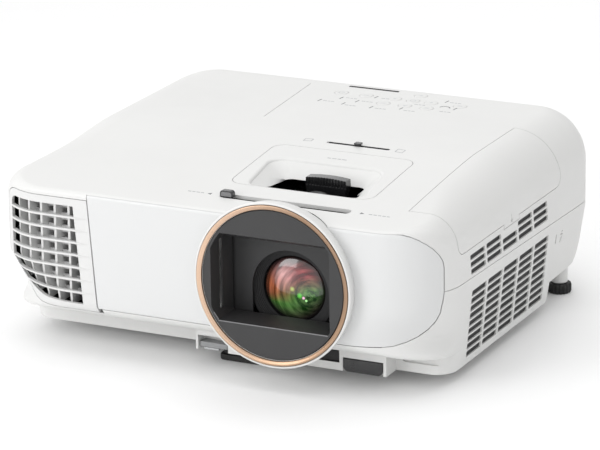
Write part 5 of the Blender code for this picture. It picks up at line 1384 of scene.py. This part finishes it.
def build_grille(shell, source, look):
    """Grille frame with its thin curved blades, and the spikes, ribs and slats on and behind them."""
    frame_piece = keep(copy_of(shell, "grille_frame"), front_prism("outline", grille_outline(-SEAM / 2)))
    heights, pitch = blade_heights()
    bars = [box("bar", (-SIDE_X - WALL, FRONT_Y - PANEL_DEPTH, z),
                (GRILLE_BOTTOM_X, FRONT_Y + 2 * PANEL_DEPTH, z + BLADE_THICKNESS)) for z in heights]
    opening = grille_outline(-GRILLE_BORDER, GRILLE_INNER_BORDER - GRILLE_BORDER)
    cut(frame_piece, cut(front_prism("cells", opening), group("bars", bars)))
    dress_shell(frame_piece, source, look, "grille", "case", "panel_white", "exhaust_grille")
    build_spikes(heights, look)
    left = -SIDE_X + GRILLE_SIDE_SETBACK + GRILLE_BORDER
    right = GRILLE_TOP_X - GRILLE_INNER_BORDER
    build_ribs(left, right, look)
    build_slats(heights, pitch, left, right, look)


COVER_ARROW_DEPTH = 0.6


def build_cover(shell, source, look):
    """Filter cover with the arrow pressed in above its finger tab."""
    cover = keep(copy_of(shell, "side_cover_shell"), cover_prism("outline", -SEAM / 2))
    notch = (COVER_TAB_FRONT_Y + COVER_TAB_REAR_Y) / 2
    for outline in COVER_ARROW:
        cut(cover, prism("arrow", [(notch + y, COVER_LOW_Z + z) for y, z in outline], "X",
                         SIDE_X - COVER_ARROW_DEPTH, SIDE_X + WALL))
    return dress_shell(cover, source, look, "case", "filter_cover", "case_white", "side_cover")


MOUTH = ((8.4, -88.3), (86.1, -88.3), (80.0, -43.0), (3.5, -43.0))
MOUTH_RADII = (7.0, 7.0, 9.0, 9.0)
BOWL_FLOOR = ((17.0, -74.0), (73.0, -74.0), (71.0, -54.0), (21.0, -54.0))
BOWL_FLOOR_RADIUS = 4.0
BOWL_LIP = ((0.0, -1.6), (0.35, -0.75), (0.9, -0.25), (1.7, 0.02), (1.7, 4.0))


def soft_bowl(name, margin, depth):
    """The sloping finger well, rounded where its walls meet the plate."""
    def ring(corners, radii, grow, rise, flat_z=None):
        middle_x = sum(x for x, y in corners) / 4
        middle_y = sum(y for x, y in corners) / 4
        spread = [(x + math.copysign(grow, x - middle_x), y + math.copysign(grow, y - middle_y))
                  for x, y in corners]
        outline = rounded(spread, radii, steps=10)
        return [(x, y, flat_z if flat_z is not None else top_z(y) + rise) for x, y in outline]

    rings = [ring(BOWL_FLOOR, [BOWL_FLOOR_RADIUS] * 4, margin, 0.0, CASE_TOP - depth)]
    for grow, rise in BOWL_LIP:
        rings.append(ring(MOUTH, MOUTH_RADII, margin + grow, rise))
    return loft(name, rings)


def build_adjuster(shell, source, look):
    """Plate round the lens rings, with the finger well let into it."""
    plate = keep(copy_of(shell, "adjuster_plate"), prism("outline", well_outline(-SEAM / 2), "Z",
                                                         CASE_TOP - BOWL_DEPTH - 20, CASE_TOP + WALL))
    walls = keep(soft_bowl("walls", BOWL_WALL, BOWL_DEPTH), case_solid("under_top", 0.8))
    join(plate, walls)
    cut(plate, soft_bowl("hollow", 0.0, BOWL_DEPTH + 1))
    return dress_shell(plate, source, look, "case", "case", "case_white", "adjuster_bezel")


# ============================================================================================
# Lens front
# ============================================================================================
TRIM_EDGE = 0.5


def build_trim(look):
    """Turned ring with a rounded outer edge and a bevel towards the hood."""
    profile = []
    for angle in EDGE_ANGLES:
        profile.append((TRIM_OUTER - TRIM_EDGE * (1 - math.cos(angle)),
                        RING_FRONT_Y + TRIM_EDGE * (1 - math.sin(angle))))
    profile += [(TRIM_INNER + 0.2, RING_FRONT_Y + 0.8), (TRIM_INNER, RING_FRONT_Y + 1.0),
                (TRIM_INNER, RING_FRONT_Y + TRIM_DEPTH),
                (TRIM_OUTER, RING_FRONT_Y + TRIM_DEPTH)]
    ring = crisp(turned("copper_ring", profile, "Y", (RING_X, RING_Z), ROUND_STEPS * 2))
    return dress(ring, look["copper"], "case", "copper_trim", "trim_ring")


HOOD_FACE_Y = RING_FRONT_Y + 1.7
HOOD_EDGE_RADIUS = 0.3
FUNNEL_SPREAD = 2.4
EDGE_LINE = 0.75
EDGE_LINE_PROUD = 0.03
EDGE_LINE_SINK = 0.2


def build_hood(look):
    """Dark hood: a round plate that funnels back, in two steps, to a rectangular tunnel."""
    plate_back = HOOD_FRONT_Y + BEZEL_NECK_LENGTH - SEAM
    hood = rod("hood_shell", [(HOOD_RADIUS - HOOD_EDGE_RADIUS, HOOD_FACE_Y),
                              (HOOD_RADIUS, HOOD_FACE_Y + HOOD_EDGE_RADIUS),
                              (HOOD_RADIUS, plate_back)], "Y", (RING_X, RING_Z), ROUND_STEPS)
    join(hood, tunnel_box("tunnel", 0.0))
    front = rectangle((HOOD_LEFT, HOOD_FLOOR_Z), (HOOD_RIGHT, HOOD_ROOF_Z))
    back = rectangle((HOOD_BACK_LEFT, HOOD_FLOOR_Z), (HOOD_BACK_RIGHT, HOOD_BACK_ROOF_Z))
    funnel = taper("funnel", front, back, "Y", HOOD_FRONT_Y - FUNNEL_SPREAD,
                   HOOD_BACK_Y + FUNNEL_SPREAD)
    rim = HOOD_RADIUS - HOOD_RIM
    keep(funnel, rod("rim", [(rim, HOOD_FRONT_Y - WALL), (rim, HOOD_BACK_Y + WALL)], "Y",
                     (RING_X, RING_Z), ROUND_STEPS))
    cut(hood, funnel)
    dress(crisp(hood), look["hood"], "case", "hood_black", "lens_hood")
    half = math.sqrt(rim ** 2 - (RING_Z - HOOD_FLOOR_Z) ** 2)
    # Grey strip along the floor edge of the hood's opening and a diagonal stroke at its corner: painted
    # highlight where the edge catches the light.
    line = box("hood_edge_highlight", (RING_X - half, HOOD_FACE_Y - EDGE_LINE_PROUD, HOOD_FLOOR_Z - EDGE_LINE),
               (RING_X + half, HOOD_FACE_Y + EDGE_LINE_SINK, HOOD_FLOOR_Z - 0.08))
    dress(crisp(line), look["edge"], "case", "hood_black")
    corner = [(RING_X - half, HOOD_FLOOR_Z - 0.1), (RING_X - half - 3.2, HOOD_FLOOR_Z + 4.4),
              (RING_X - half - 3.0, HOOD_FLOOR_Z + 4.9), (RING_X - half + 0.4, HOOD_FLOOR_Z + 0.2)]
    diagonal = prism("hood_corner_highlight", corner, "Y", HOOD_FACE_Y - EDGE_LINE_PROUD,
                     HOOD_FACE_Y + EDGE_LINE_SINK)
    dress(crisp(diagonal), look["edge"], "case", "hood_black")


LENS_FRONT_Y = HOOD_BACK_Y + SHUTTER_GAP + SHUTTER_THICKNESS + LENS_SETBACK
MASK_GAP = 0.5
MASK_STEPS = 48
MOUTH_STEPS = 6
MOUTH_DEPTH = 3.2
MOUTH_FLARE = 5.2
MOUTH_EDGE = 1.2
BORE_GAP = 0.4
BORE_DEPTH = 12.0
GLASS_SEAT = 3.0
GLASS_SETBACK = 5.5
GLASS_RISE = 4.5
GLASS_DEPTH = 4.0
MASK_THICKNESS = 1.5
MASK_RADIUS = 26.0
MASK_SKIRT = 4.0


def build_mask(look):
    """Dark plate behind the shutter, with an arched window for the lens."""
    front = LENS_FRONT_Y - LENS_SETBACK + MASK_GAP
    left, right = HOOD_BACK_LEFT - MASK_SKIRT, HOOD_BACK_RIGHT + MASK_SKIRT
    low, high = HOOD_FLOOR_Z - MASK_SKIRT, HOOD_BACK_ROOF_Z + MASK_SKIRT
    outline = [(left, low), (RING_X - MASK_RADIUS, low)]
    for step in range(MASK_STEPS + 1):
        angle = math.pi * (1 - step / MASK_STEPS)
        outline.append((RING_X + MASK_RADIUS * math.cos(angle), LENS_Z + MASK_RADIUS * math.sin(angle)))
    outline += [(RING_X + MASK_RADIUS, low), (right, low), (right, high), (left, high)]
    mask = prism("lens_mask", outline, "Y", front, front + MASK_THICKNESS)
    dress(crisp(mask), look["hood"], "case", "hood_black")


def build_mouth(look):
    """The barrel, whose mouth narrows in fine ridges."""
    front = LENS_FRONT_Y
    back = front + BARREL_LENGTH
    body = BARREL_RADIUS - RING_CLEARANCE
    bore = GLASS_RADIUS + BORE_GAP
    seat = GLASS_RADIUS - GLASS_SEAT
    profile = [(body, front + MOUTH_EDGE), (body - MOUTH_EDGE, front), (bore + MOUTH_FLARE, front)]
    for step in range(MOUTH_STEPS):
        share = step / MOUTH_STEPS
        radius = bore + MOUTH_FLARE - MOUTH_FLARE * share
        profile.append((radius - 0.25, front + MOUTH_DEPTH * share))
        profile.append((radius - 0.35, front + MOUTH_DEPTH * (share + 0.8 / MOUTH_STEPS)))
    profile += [(bore, front + MOUTH_DEPTH), (bore, front + BORE_DEPTH), (seat, front + BORE_DEPTH),
                (seat, back), (body, back)]
    barrel = crisp(turned("lens_mouth", profile, "Y", (RING_X, LENS_Z), 128))
    dress(barrel, look["inner"], "case", "gloss_black", "lens_barrel")


def build_element(look):
    """The domed, coated front element."""
    edge = LENS_FRONT_Y + GLASS_SETBACK
    rings = []
    for degrees in range(2, 91, 8):
        angle = math.radians(degrees)
        rings.append((GLASS_RADIUS * math.sin(angle), edge - GLASS_RISE * math.cos(angle)))
    rings.append((GLASS_RADIUS, edge + GLASS_DEPTH))
    glass = crisp(rod("front_element", rings, "Y", (RING_X, LENS_Z), 96))
    dress(glass, look["coating"], "case", "coated_glass", "front_lens")


KNOB_BORDER = 0.9
KNOB_FACE_DEPTH = 0.4


def build_shutter(look):
    """The shutter's knob: a small soft block with a plain face."""
    low, high = (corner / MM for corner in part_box("shutter_knob"))
    outline = rounded(rectangle((low[0], low[2]), (high[0], high[2])), [0.3, 0.3, 2.0, 2.0], steps=8)
    knob = prism("shutter_button", outline, "Y", low[1] + 0.1, high[1])
    soften(knob, 0.25)
    dress(knob, look["gloss"], "shutter", "gloss_black", "shutter_knob")
    face = rounded(rectangle((low[0] + KNOB_BORDER, low[2] + 0.4),
                             (high[0] - KNOB_BORDER, high[2] - KNOB_BORDER)),
                   [0.2, 0.2, 1.3, 1.3], steps=8)
    plate = prism("shutter_button_face", face, "Y", low[1], low[1] + KNOB_FACE_DEPTH)
    dress(crisp(plate), look["edge"], "shutter", "gloss_black")


BAND_EDGE = 0.5
TAB_ROOT_SINK = 1.5
TAB_ROOT_SHARE = 0.7
TAB_SIDE = 6.0
TAB_STEPS = 6
TAB_CROWN = 0.9
KNURL_RADIUS = 0.55
KNURL_LENGTH = 5.5


def build_ring_tabs(look):
    """Focus and zoom rings: a plain band and a curved, ribbed tab each."""
    rings = (("focus_ring", FOCUS_RING_SETBACK, FOCUS_TAB_WIDTH, 5.0, 6),
             ("zoom_ring", FOCUS_RING_SETBACK + ADJUST_RING_PITCH, ZOOM_TAB_WIDTH, TAB_DROP, 14))
    for name, setback, tab_width, drop, ribs in rings:
        ring_y = FRONT_Y + setback
        inner = BARREL_RADIUS + RING_CLEARANCE / 2
        outer = inner + RING_THICKNESS
        front = ring_y - ADJUST_RING_LENGTH / 2
        back = ring_y + ADJUST_RING_LENGTH / 2
        profile = [(inner, front), (outer - BAND_EDGE, front), (outer, front + BAND_EDGE),
                   (outer, back - BAND_EDGE), (outer - BAND_EDGE, back), (inner, back)]
        ring = turned(name + "_band", profile, "Y", (RING_X, LENS_Z), 96)
        tip = top_z(ring_y) - drop
        half = tab_width / 2
        root = LENS_Z + outer - TAB_ROOT_SINK
        neck = half * TAB_ROOT_SHARE
        outline = [(RING_X - neck, root), (RING_X + neck, root), (RING_X + half, tip - TAB_SIDE)]
        for step in range(2 * TAB_STEPS + 1):
            share = 1 - step / TAB_STEPS
            outline.append((RING_X + (half - 0.3) * share, tip - TAB_CROWN * share * share))
        outline.append((RING_X - half, tip - TAB_SIDE))
        low_y = ring_y - TAB_THICKNESS / 2
        tab = prism("tab", outline, "Y", low_y, low_y + TAB_THICKNESS)
        grooves = []
        for index in range(ribs):
            x = RING_X - half + tab_width * (index + 0.5) / ribs
            grooves.append(prism("groove", circle((x, low_y), KNURL_RADIUS, 10), "Z",
                                 tip - KNURL_LENGTH, tip + 2))
        cut(tab, group("grooves", grooves))
        join(ring, tab)
        dress(crisp(ring), look["gloss"], name, "gloss_black", name)


# ============================================================================================
# Controls and printed marks
# ============================================================================================
CAP_ROUND = 0.6


def build_buttons(look):
    """Round caps with a soft edge and a flange inside the case."""
    for name, spot in button_places().items():
        low, high = (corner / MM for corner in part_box(name))
        flange_z = CASE_TOP - WALL - BUTTON_FLANGE_DROP
        profile = [(0.6, high[2] - 0.02), (BUTTON_RADIUS - CAP_ROUND - 1, high[2] - 0.05)]
        for step in range(6):
            angle = math.radians(18 * step)
            profile.append((BUTTON_RADIUS - CAP_ROUND * (1 - math.sin(angle)),
                            high[2] - 0.1 - CAP_ROUND * (1 - math.cos(angle))))
        profile += [(BUTTON_RADIUS, flange_z), (BUTTON_RADIUS + BUTTON_FLANGE, flange_z),
                    (BUTTON_RADIUS + BUTTON_FLANGE, low[2])]
        cap = crisp(rod(name + "_cap", profile, "Z", spot, 64))
        dress(cap, look["button"], name, "button_white", name)


KEYSTONE_NECK_GAP = 0.4


def build_keystone(look):
    """Slider's button on its stem, and the dark lining of its slot as painted shade."""
    low, high = (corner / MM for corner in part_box("keystone_knob"))
    neck = KEYSTONE_SLOT_WIDTH / 2 - KEYSTONE_NECK_GAP
    knob = rounded_box("keystone_button", (low[0], low[1], CASE_TOP + 0.5), tuple(high), 1.0,
                       steps=6)
    soften(knob, 0.3)
    dress(knob, look["gloss"], "keystone_slider", "gloss_black", "keystone_knob")
    middle = (low[1] + high[1]) / 2
    # Dark sheet on the rear wall of the slot: painted shade.
    wall_y = KEYSTONE_Y + KEYSTONE_ROOM_WIDTH / 2
    shade_lining = box("keystone_shade_lining", (KEYSTONE_LEFT + 1, wall_y - 0.25, CASE_TOP - 4.0),
                 (KEYSTONE_RIGHT - 1, wall_y + 0.02, top_z(KEYSTONE_Y) - 0.1))
    dress(crisp(shade_lining), look["inner"], "case", "hood_black")
    stem = box("keystone_stem", (low[0] + 1, middle - neck, low[2]),
               (high[0] - 1, middle + neck, CASE_TOP + 0.8))
    dress(crisp(stem), look["inner"], "keystone_slider", "gloss_black")


MARK_RISE = 0.05
MARK_SINK = 0.25
SIGN_WIDTH = 0.5


def marks(name, outlines, axis, sign, source, material, body, slot_name):
    """Thin printed shapes laid on the case surface, seen along the axis from the sign's side."""
    pieces = []
    outward = Vector((0, 0, 0))
    outward["XYZ".index(axis)] = sign
    for outline in outlines:
        rings = [[], []]
        for a, b in outline:
            start = Vector(place(axis, a, b, sign * CASE_WIDTH)) * MM
            met = source.height_from(start, -outward) / MM
            rings[0].append(tuple(met - outward * MARK_SINK))
            rings[1].append(tuple(met + outward * MARK_RISE))
        pieces.append(loft("mark", rings))
    sheet = crisp(group(name, pieces))
    return dress(sheet, material, body, slot_name)


def dashes(start, lengths, gap, width):
    """A row of short bars running along +X, in place of a line of words."""
    made = []
    x, y = start
    for length in lengths:
        made.append(stroke((x, y), (x + length, y), width))
        x += length + gap
    return made


def arc_strip(centre, radius, width, start, end, steps=10):
    """Short straight strokes that make up an arc."""
    points = []
    for step in range(steps + 1):
        angle = math.radians(start + (end - start) * step / steps)
        points.append((centre[0] + radius * math.cos(angle), centre[1] + radius * math.sin(angle)))
    return [stroke(points[step], points[step + 1], width) for step in range(steps)]


STROKES = ((-22.0, 78.0), (-11.0, 88.5), (-4.0, 76.5), (2.0, 85.0), (9.5, 99.0), (16.5, 75.5),
           (36.0, 80.5), (36.0, 108.0), (54.5, 91.5), (69.0, 93.0), (57.0, 107.0))
STROKE_LENGTH = 5.0
STROKE_LEAN = 0.6
STROKE_WIDTH = 0.75
ARC_MARK = {"centre": (61.7, 92.5), "radius": 3.6, "width": 0.8, "start": 10, "end": 170}
WORDS = ((-19.0, 78.0), (-8.0, 90.0), (-1.5, 74.0), (5.0, 86.5), (14.0, 98.0), (20.0, 74.5),
         (39.5, 77.0), (40.0, 93.0), (62.0, 84.0), (72.0, 101.0), (60.0, 106.0), (22.0, 87.0))
WORD_LENGTHS = (2.6, 1.6, 2.2)
WORD_GAP = 0.7
WORD_WIDTH = 0.8
BUTTON_MARGIN = 1.0
ARROW_GAP = 9.0
ARROW_LENGTH = 2.6
ARROW_HALF = 1.3
LABEL_GAP = 0.8
LABEL_WIDTH = 0.9
LEFT_LABEL = (2.2, 2.0, 2.4, 2.0)
RIGHT_LABEL = (2.2, 2.4, 2.0, 2.2, 1.8)
WELL_LABEL = (2.4, 3.0, 2.2, 3.2)
KEYSTONE_SIGNS = ((KEYSTONE_LEFT - 13.0, 1.0), (KEYSTONE_RIGHT + 7.0, -1.0))
KEYSTONE_SIGN_HALF = (2.6, 2.2)
KEYSTONE_SIGN_LEAN = 0.7


def clear_of_buttons(x, y):
    return all(math.dist((x, y), spot) > BUTTON_RADIUS + BUTTON_MARGIN
               for spot in button_places().values())


def build_marks(source, look):
    reach = STROKE_LENGTH / 2
    dark = [stroke((x, y - reach), (x + STROKE_LEAN, y + reach), STROKE_WIDTH)
            for x, y in STROKES if clear_of_buttons(x, y)]
    dark += arc_strip(**ARC_MARK)
    marks("top_marks_dark", dark, "Z", 1, source, look["ink"], "case", "rear_grey")
    pale = []
    for x, y in WORDS:
        if clear_of_buttons(x, y):
            pale += dashes((x, y), WORD_LENGTHS, WORD_GAP, WORD_WIDTH)
    slot_y = SHUTTER_SLOT_Y
    left = SHUTTER_SLOT_LEFT - ARROW_GAP
    right = SHUTTER_SLOT_RIGHT + ARROW_GAP
    arrows = [[(tip, slot_y), (tip + side * ARROW_LENGTH, slot_y - side * ARROW_HALF),
               (tip + side * ARROW_LENGTH, slot_y + side * ARROW_HALF)]
              for tip, side in ((left, 1), (right, -1))]
    marks("slot_arrows", arrows, "Z", 1, source, look["ink"], "case", "rear_grey")
    pale += dashes((left - 13.5, slot_y), LEFT_LABEL, LABEL_GAP, LABEL_WIDTH)
    pale += dashes((right + 3.0, slot_y), RIGHT_LABEL, LABEL_GAP, LABEL_WIDTH)
    half_x, half_y = KEYSTONE_SIGN_HALF
    for x, side in KEYSTONE_SIGNS:
        lean = side * KEYSTONE_SIGN_LEAN
        corners = [(x - half_x, KEYSTONE_Y - half_y), (x + half_x, KEYSTONE_Y - half_y + lean),
                   (x + half_x, KEYSTONE_Y + half_y), (x - half_x, KEYSTONE_Y + half_y - lean)]
        pale += [stroke(corners[index - 1], corners[index], SIGN_WIDTH) for index in range(4)]
    middle = (WELL_LEFT + WELL_RIGHT) / 2
    pale += dashes((middle - 7.0, WELL_REAR_Y - 13.0), WELL_LABEL, LABEL_GAP, LABEL_WIDTH)
    marks("top_marks_pale", pale, "Z", 1, source, look["pale_ink"], "case", "rear_grey")


CAP_TURNS = {"button_up": 90, "button_down": -90, "button_left": 180, "button_right": 0}
CAP_ARROW = ((1.6, 0.0), (-0.6, 1.8), (-0.6, -1.8))
CAP_RING = 1.9
CAP_BAR = 1.8
CAP_BAR_RISES = (-1.0, 0.4)
POWER_BAR = (0.6, 2.6)


def cap_marks(look):
    """Plain signs on the button caps: arrows, a ring, bars and a broken ring."""
    for name, spot in button_places().items():
        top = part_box(name)[1].z / MM
        x, y = spot
        if name in CAP_TURNS:
            turn = Matrix.Rotation(math.radians(CAP_TURNS[name]), 2)
            outlines = [[tuple(turn @ Vector(corner) + Vector(spot)) for corner in CAP_ARROW]]
        elif name == "button_enter":
            outlines = arc_strip(spot, CAP_RING, SIGN_WIDTH, 0, 360, 18)
        elif name == "button_power":
            outlines = arc_strip(spot, CAP_RING, SIGN_WIDTH, 120, 420, 16)
            outlines.append(stroke((x, y + POWER_BAR[0]), (x, y + POWER_BAR[1]), SIGN_WIDTH))
        else:
            outlines = [stroke((x - CAP_BAR, y + rise), (x + CAP_BAR, y + rise), SIGN_WIDTH)
                        for rise in CAP_BAR_RISES]
        pieces = [prism("mark", outline, "Z", top - MARK_SINK, top - 0.005) for outline in outlines]
        sign = crisp(group(name + "_sign", pieces))
        dress(sign, look["faint_ink"], name, "rear_grey")


# ============================================================================================
# Feet
# ============================================================================================
WHEEL_PROFILE = ((0.90, 0.0), (0.96, 0.35), (1.0, 1.2), (1.0, WHEEL_HEIGHT - 1.2),
                 (0.96, WHEEL_HEIGHT - 0.35), (0.90, WHEEL_HEIGHT))
WHEEL_RIB_STEPS = 10
WHEEL_RIB_POWER = 0.7
WHEEL_RIB_RELIEF = 1.4
STEM_SINK = 4.0


def build_rear_wheels(look):
    """Ribbed rubber wheels with rounded ribs and a soft rim."""
    steps = WHEEL_RIBS * WHEEL_RIB_STEPS
    for side, spot in rear_foot_spots().items():
        rings = []
        for share, z in WHEEL_PROFILE:
            ring = []
            for step in range(steps):
                wave = abs(math.cos(math.pi * step * WHEEL_RIBS / steps)) ** WHEEL_RIB_POWER
                radius = (WHEEL_RADIUS - WHEEL_RIB_DEPTH * (1 - wave) * WHEEL_RIB_RELIEF) * share
                angle = 2 * math.pi * step / steps
                ring.append((spot[0] + radius * math.cos(angle), spot[1] + radius * math.sin(angle), z))
            rings.append(ring)
        wheel = loft("rear_wheel_" + side + "_tyre", rings)
        cut(wheel, rod("socket", [(STEM_RADIUS + SEAM, WHEEL_HEIGHT - STEM_SINK - SEAM),
                                  (STEM_RADIUS + SEAM, WHEEL_HEIGHT + 1)], "Z", spot, 32))
        dress(crisp(wheel), look["rubber"], "rear_wheel_" + side, "foot_rubber",
              "rear_foot_wheel_" + side)


THREAD_PITCH = 1.5
THREAD_DEPTH = 0.5
THREAD_START = 3.0


def build_threads(look):
    """Threaded stems of the rear feet."""
    for side, spot in rear_foot_spots().items():
        low, high = (corner.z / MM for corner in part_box("rear_foot_stem_" + side))
        z = low + THREAD_START
        profile = [(STEM_RADIUS - 0.3, low), (STEM_RADIUS - 0.3, z)]
        while z + THREAD_PITCH < high:
            profile += [(STEM_RADIUS, z + THREAD_PITCH * 0.45), (STEM_RADIUS, z + THREAD_PITCH * 0.55),
                        (STEM_RADIUS - THREAD_DEPTH, z + THREAD_PITCH)]
            z += THREAD_PITCH
        profile.append((STEM_RADIUS - 0.8, high))
        stem = crisp(rod("rear_stem_" + side + "_thread", profile, "Z", spot, 40))
        dress(stem, look["steel"], "rear_stem_" + side, "steel", "rear_foot_stem_" + side)


def build_front_foot(look):
    """Rubber pad under the front leg."""
    low, high = (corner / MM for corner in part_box("front_foot_pad"))
    outline = rounded(rectangle((low[0], low[1]), (high[0], high[1])), [4] * 4, steps=10)
    pad = prism("foot_pad", outline, "Z", 0.0, high[2])
    soften(pad, 0.8, 3)
    dress(pad, look["rubber"], "front_foot", "foot_rubber", "front_foot_pad")


LEVER_RISE = 1.4
LEVER_CORNER = 1.4
LIP_LEFT = 3.2
LIP_RIGHT = 5.8
LIP_DEPTH = 2.2
LIP_HEIGHT = 1.3


def build_window_and_lever(look):
    """Receiver window with soft corners, and the release lever with its finger lip."""
    low, high = (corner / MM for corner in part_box("ir_window"))
    outline = rounded(rectangle((low[0], low[2]), (high[0], high[2])), [3.4, 3.4, 0.6, 0.6], steps=10)
    window = prism("receiver_window", outline, "Y", low[1], high[1])
    soften(window, 0.5, 3)
    dress(window, look["gloss"], "case", "gloss_black", "ir_window")
    low, high = (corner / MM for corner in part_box("foot_release_lever"))
    lever = rounded_box("release_plate", (low[0], low[1], low[2] + LEVER_RISE), tuple(high),
                        LEVER_CORNER, steps=6)
    soften(lever, 0.4)
    dress(lever, look["lever"], "release_lever", "lever_grey", "foot_release_lever")
    lip = rounded_box("release_lip", (low[0] + LIP_LEFT, low[1], low[2]),
                      (high[0] - LIP_RIGHT, low[1] + LIP_DEPTH, low[2] + LIP_HEIGHT), 0.6, steps=4)
    soften(lip, 0.2)
    dress(lip, look["steel"], "release_lever", "lever_grey")


# ============================================================================================
# Parts kept as the CAD model has them
# ============================================================================================
KEPT = {
    "rear": ("rear_panel",),
    "inner": ("status_window", "exhaust_fan_frame", "exhaust_fan_rotor", "intake_fan_frame",
              "intake_fan_rotor", "lens_shutter", "front_foot_leg", "power_inlet", "audio_port",
              "speaker", "lcd_panel_red", "lcd_panel_blue", "lcd_panel_green"),
    "steel": ("hdmi_port_one", "hdmi_port_two", "usb_port", "base_screw_right", "base_screw_left"),
    "blue": ("vga_port",),
    "filter": ("air_filter",),
    "cast": ("optics_base",),
    "glass": ("prism_cube",),
    "lever": ("lamp_housing",),
    "mirror": ("lamp_reflector",),
    "board": ("main_board", "power_board"),
}


def dress_kept_nodes(look):
    """Give the CAD nodes that stay in view their materials."""
    for key, names in KEPT.items():
        for name in names:
            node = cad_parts[name]
            node.data.materials.clear()
            node.data.materials.append(look[key])


# ============================================================================================
# Stage
# ============================================================================================
CAMERA_AZIMUTH = math.radians(26.039)
CAMERA_ELEVATION = math.radians(17.537)
CAMERA_ROLL = math.radians(-0.794)
CAMERA_DISTANCE = 2398.08
CAMERA_TARGET = (0.66, 0.0, 60.85)
CAMERA_LENS = 223.06
CAMERA_SENSOR = 36.0
FLOOR_REACH = 6000.0
DIM_SIDE = (0.86, 0.5, 0.0)


def build_camera():
    """Camera that was fitted to the photograph, given by its direction, distance and roll."""
    level = math.cos(CAMERA_ELEVATION)
    back = Vector((math.sin(CAMERA_AZIMUTH) * level, -math.cos(CAMERA_AZIMUTH) * level,
                   math.sin(CAMERA_ELEVATION)))
    right = Vector((math.cos(CAMERA_AZIMUTH), math.sin(CAMERA_AZIMUTH), 0.0))
    up = back.cross(right)
    tilted_right = math.cos(CAMERA_ROLL) * right + math.sin(CAMERA_ROLL) * up
    tilted_up = -math.sin(CAMERA_ROLL) * right + math.cos(CAMERA_ROLL) * up
    turn = Matrix((tilted_right, tilted_up, back)).transposed().to_4x4()
    data = bpy.data.cameras.new("camera")
    data.lens = CAMERA_LENS
    data.sensor_width = CAMERA_SENSOR
    data.clip_start = 0.05
    data.clip_end = 50.0
    camera = bpy.data.objects.new("camera", data)
    bpy.context.scene.collection.objects.link(camera)
    spot = (Vector(CAMERA_TARGET) + back * CAMERA_DISTANCE) * MM
    camera.matrix_world = Matrix.Translation(spot) @ turn
    bpy.context.scene.camera = camera


def area_light(name, spot, target, width, height, power, colour=(1.0, 1.0, 1.0)):
    data = bpy.data.lights.new(name, "AREA")
    data.shape = "RECTANGLE"
    data.size = width * MM
    data.size_y = height * MM
    data.energy = power
    data.color = colour
    light = bpy.data.objects.new(name, data)
    bpy.context.scene.collection.objects.link(light)
    light.location = Vector(spot) * MM
    aim = (Vector(target) - Vector(spot)).normalized()
    light.rotation_mode = "QUATERNION"
    light.rotation_quaternion = aim.to_track_quat("-Z", "Y")


def build_stage():
    """White floor, a sky that darkens towards the rear right, and two soft lights."""
    corners = rectangle((-FLOOR_REACH, -FLOOR_REACH), (FLOOR_REACH, FLOOR_REACH))
    floor = solid("floor", [(x, y, 0.0) for x, y in corners], [(0, 1, 2, 3)])
    recipe = Recipe("floor_paper")
    shade = recipe.spread(recipe.noise(3.0), 0.0, 1.0)
    recipe.bump(recipe.noise(800.0), 0.05, 0.02)
    recipe.set(colour=recipe.mix(shade, (0.955, 0.955, 0.955), (0.97, 0.97, 0.97)), roughness=0.7)
    floor.data.materials.append(recipe.material)
    world = bpy.data.worlds.new("studio")
    world.use_nodes = True
    nodes = world.node_tree.nodes
    links = world.node_tree.links
    toward = nodes.new("ShaderNodeVectorMath")
    toward.operation = "DOT_PRODUCT"
    toward.inputs[1].default_value = DIM_SIDE
    links.new(nodes.new("ShaderNodeTexCoord").outputs["Generated"], toward.inputs[0])
    shade = nodes.new("ShaderNodeMapRange")
    shade.inputs["From Min"].default_value = 0.1
    shade.inputs["From Max"].default_value = 0.95
    shade.inputs["To Min"].default_value = 1.0
    shade.inputs["To Max"].default_value = 0.42
    links.new(toward.outputs["Value"], shade.inputs["Value"])
    links.new(shade.outputs["Result"], nodes["Background"].inputs["Color"])
    nodes["Background"].inputs["Strength"].default_value = 1.0
    bpy.context.scene.world = world
    centre = (0.0, 0.0, 60.0)
    area_light("overhead", (350, 0, 1500), centre, 1400, 1400, 6.0)
    area_light("front_left", (-900, -1500, 600), centre, 800, 900, 8.0)
    bpy.context.scene.view_settings.view_transform = "Standard"


# ============================================================================================
# Assembly
# ============================================================================================
def build():
    look = make_materials()
    source = SmoothSource(case_solid("surface", 0.0))
    shell = case_shell("shell")
    build_top(shell, source, look)
    build_bottom(shell, source, look)
    build_front(shell, source, look)
    build_surround(look)
    build_grille(shell, source, look)
    build_cover(shell, source, look)
    build_adjuster(shell, source, look)
    bpy.data.objects.remove(shell, do_unlink=True)
    build_trim(look)
    build_hood(look)
    build_mask(look)
    build_mouth(look)
    build_element(look)
    build_shutter(look)
    build_ring_tabs(look)
    build_buttons(look)
    build_keystone(look)
    build_marks(source, look)
    cap_marks(look)
    build_rear_wheels(look)
    build_threads(look)
    build_front_foot(look)
    build_window_and_lever(look)
    dress_kept_nodes(look)
    build_stage()
    build_camera()


build()
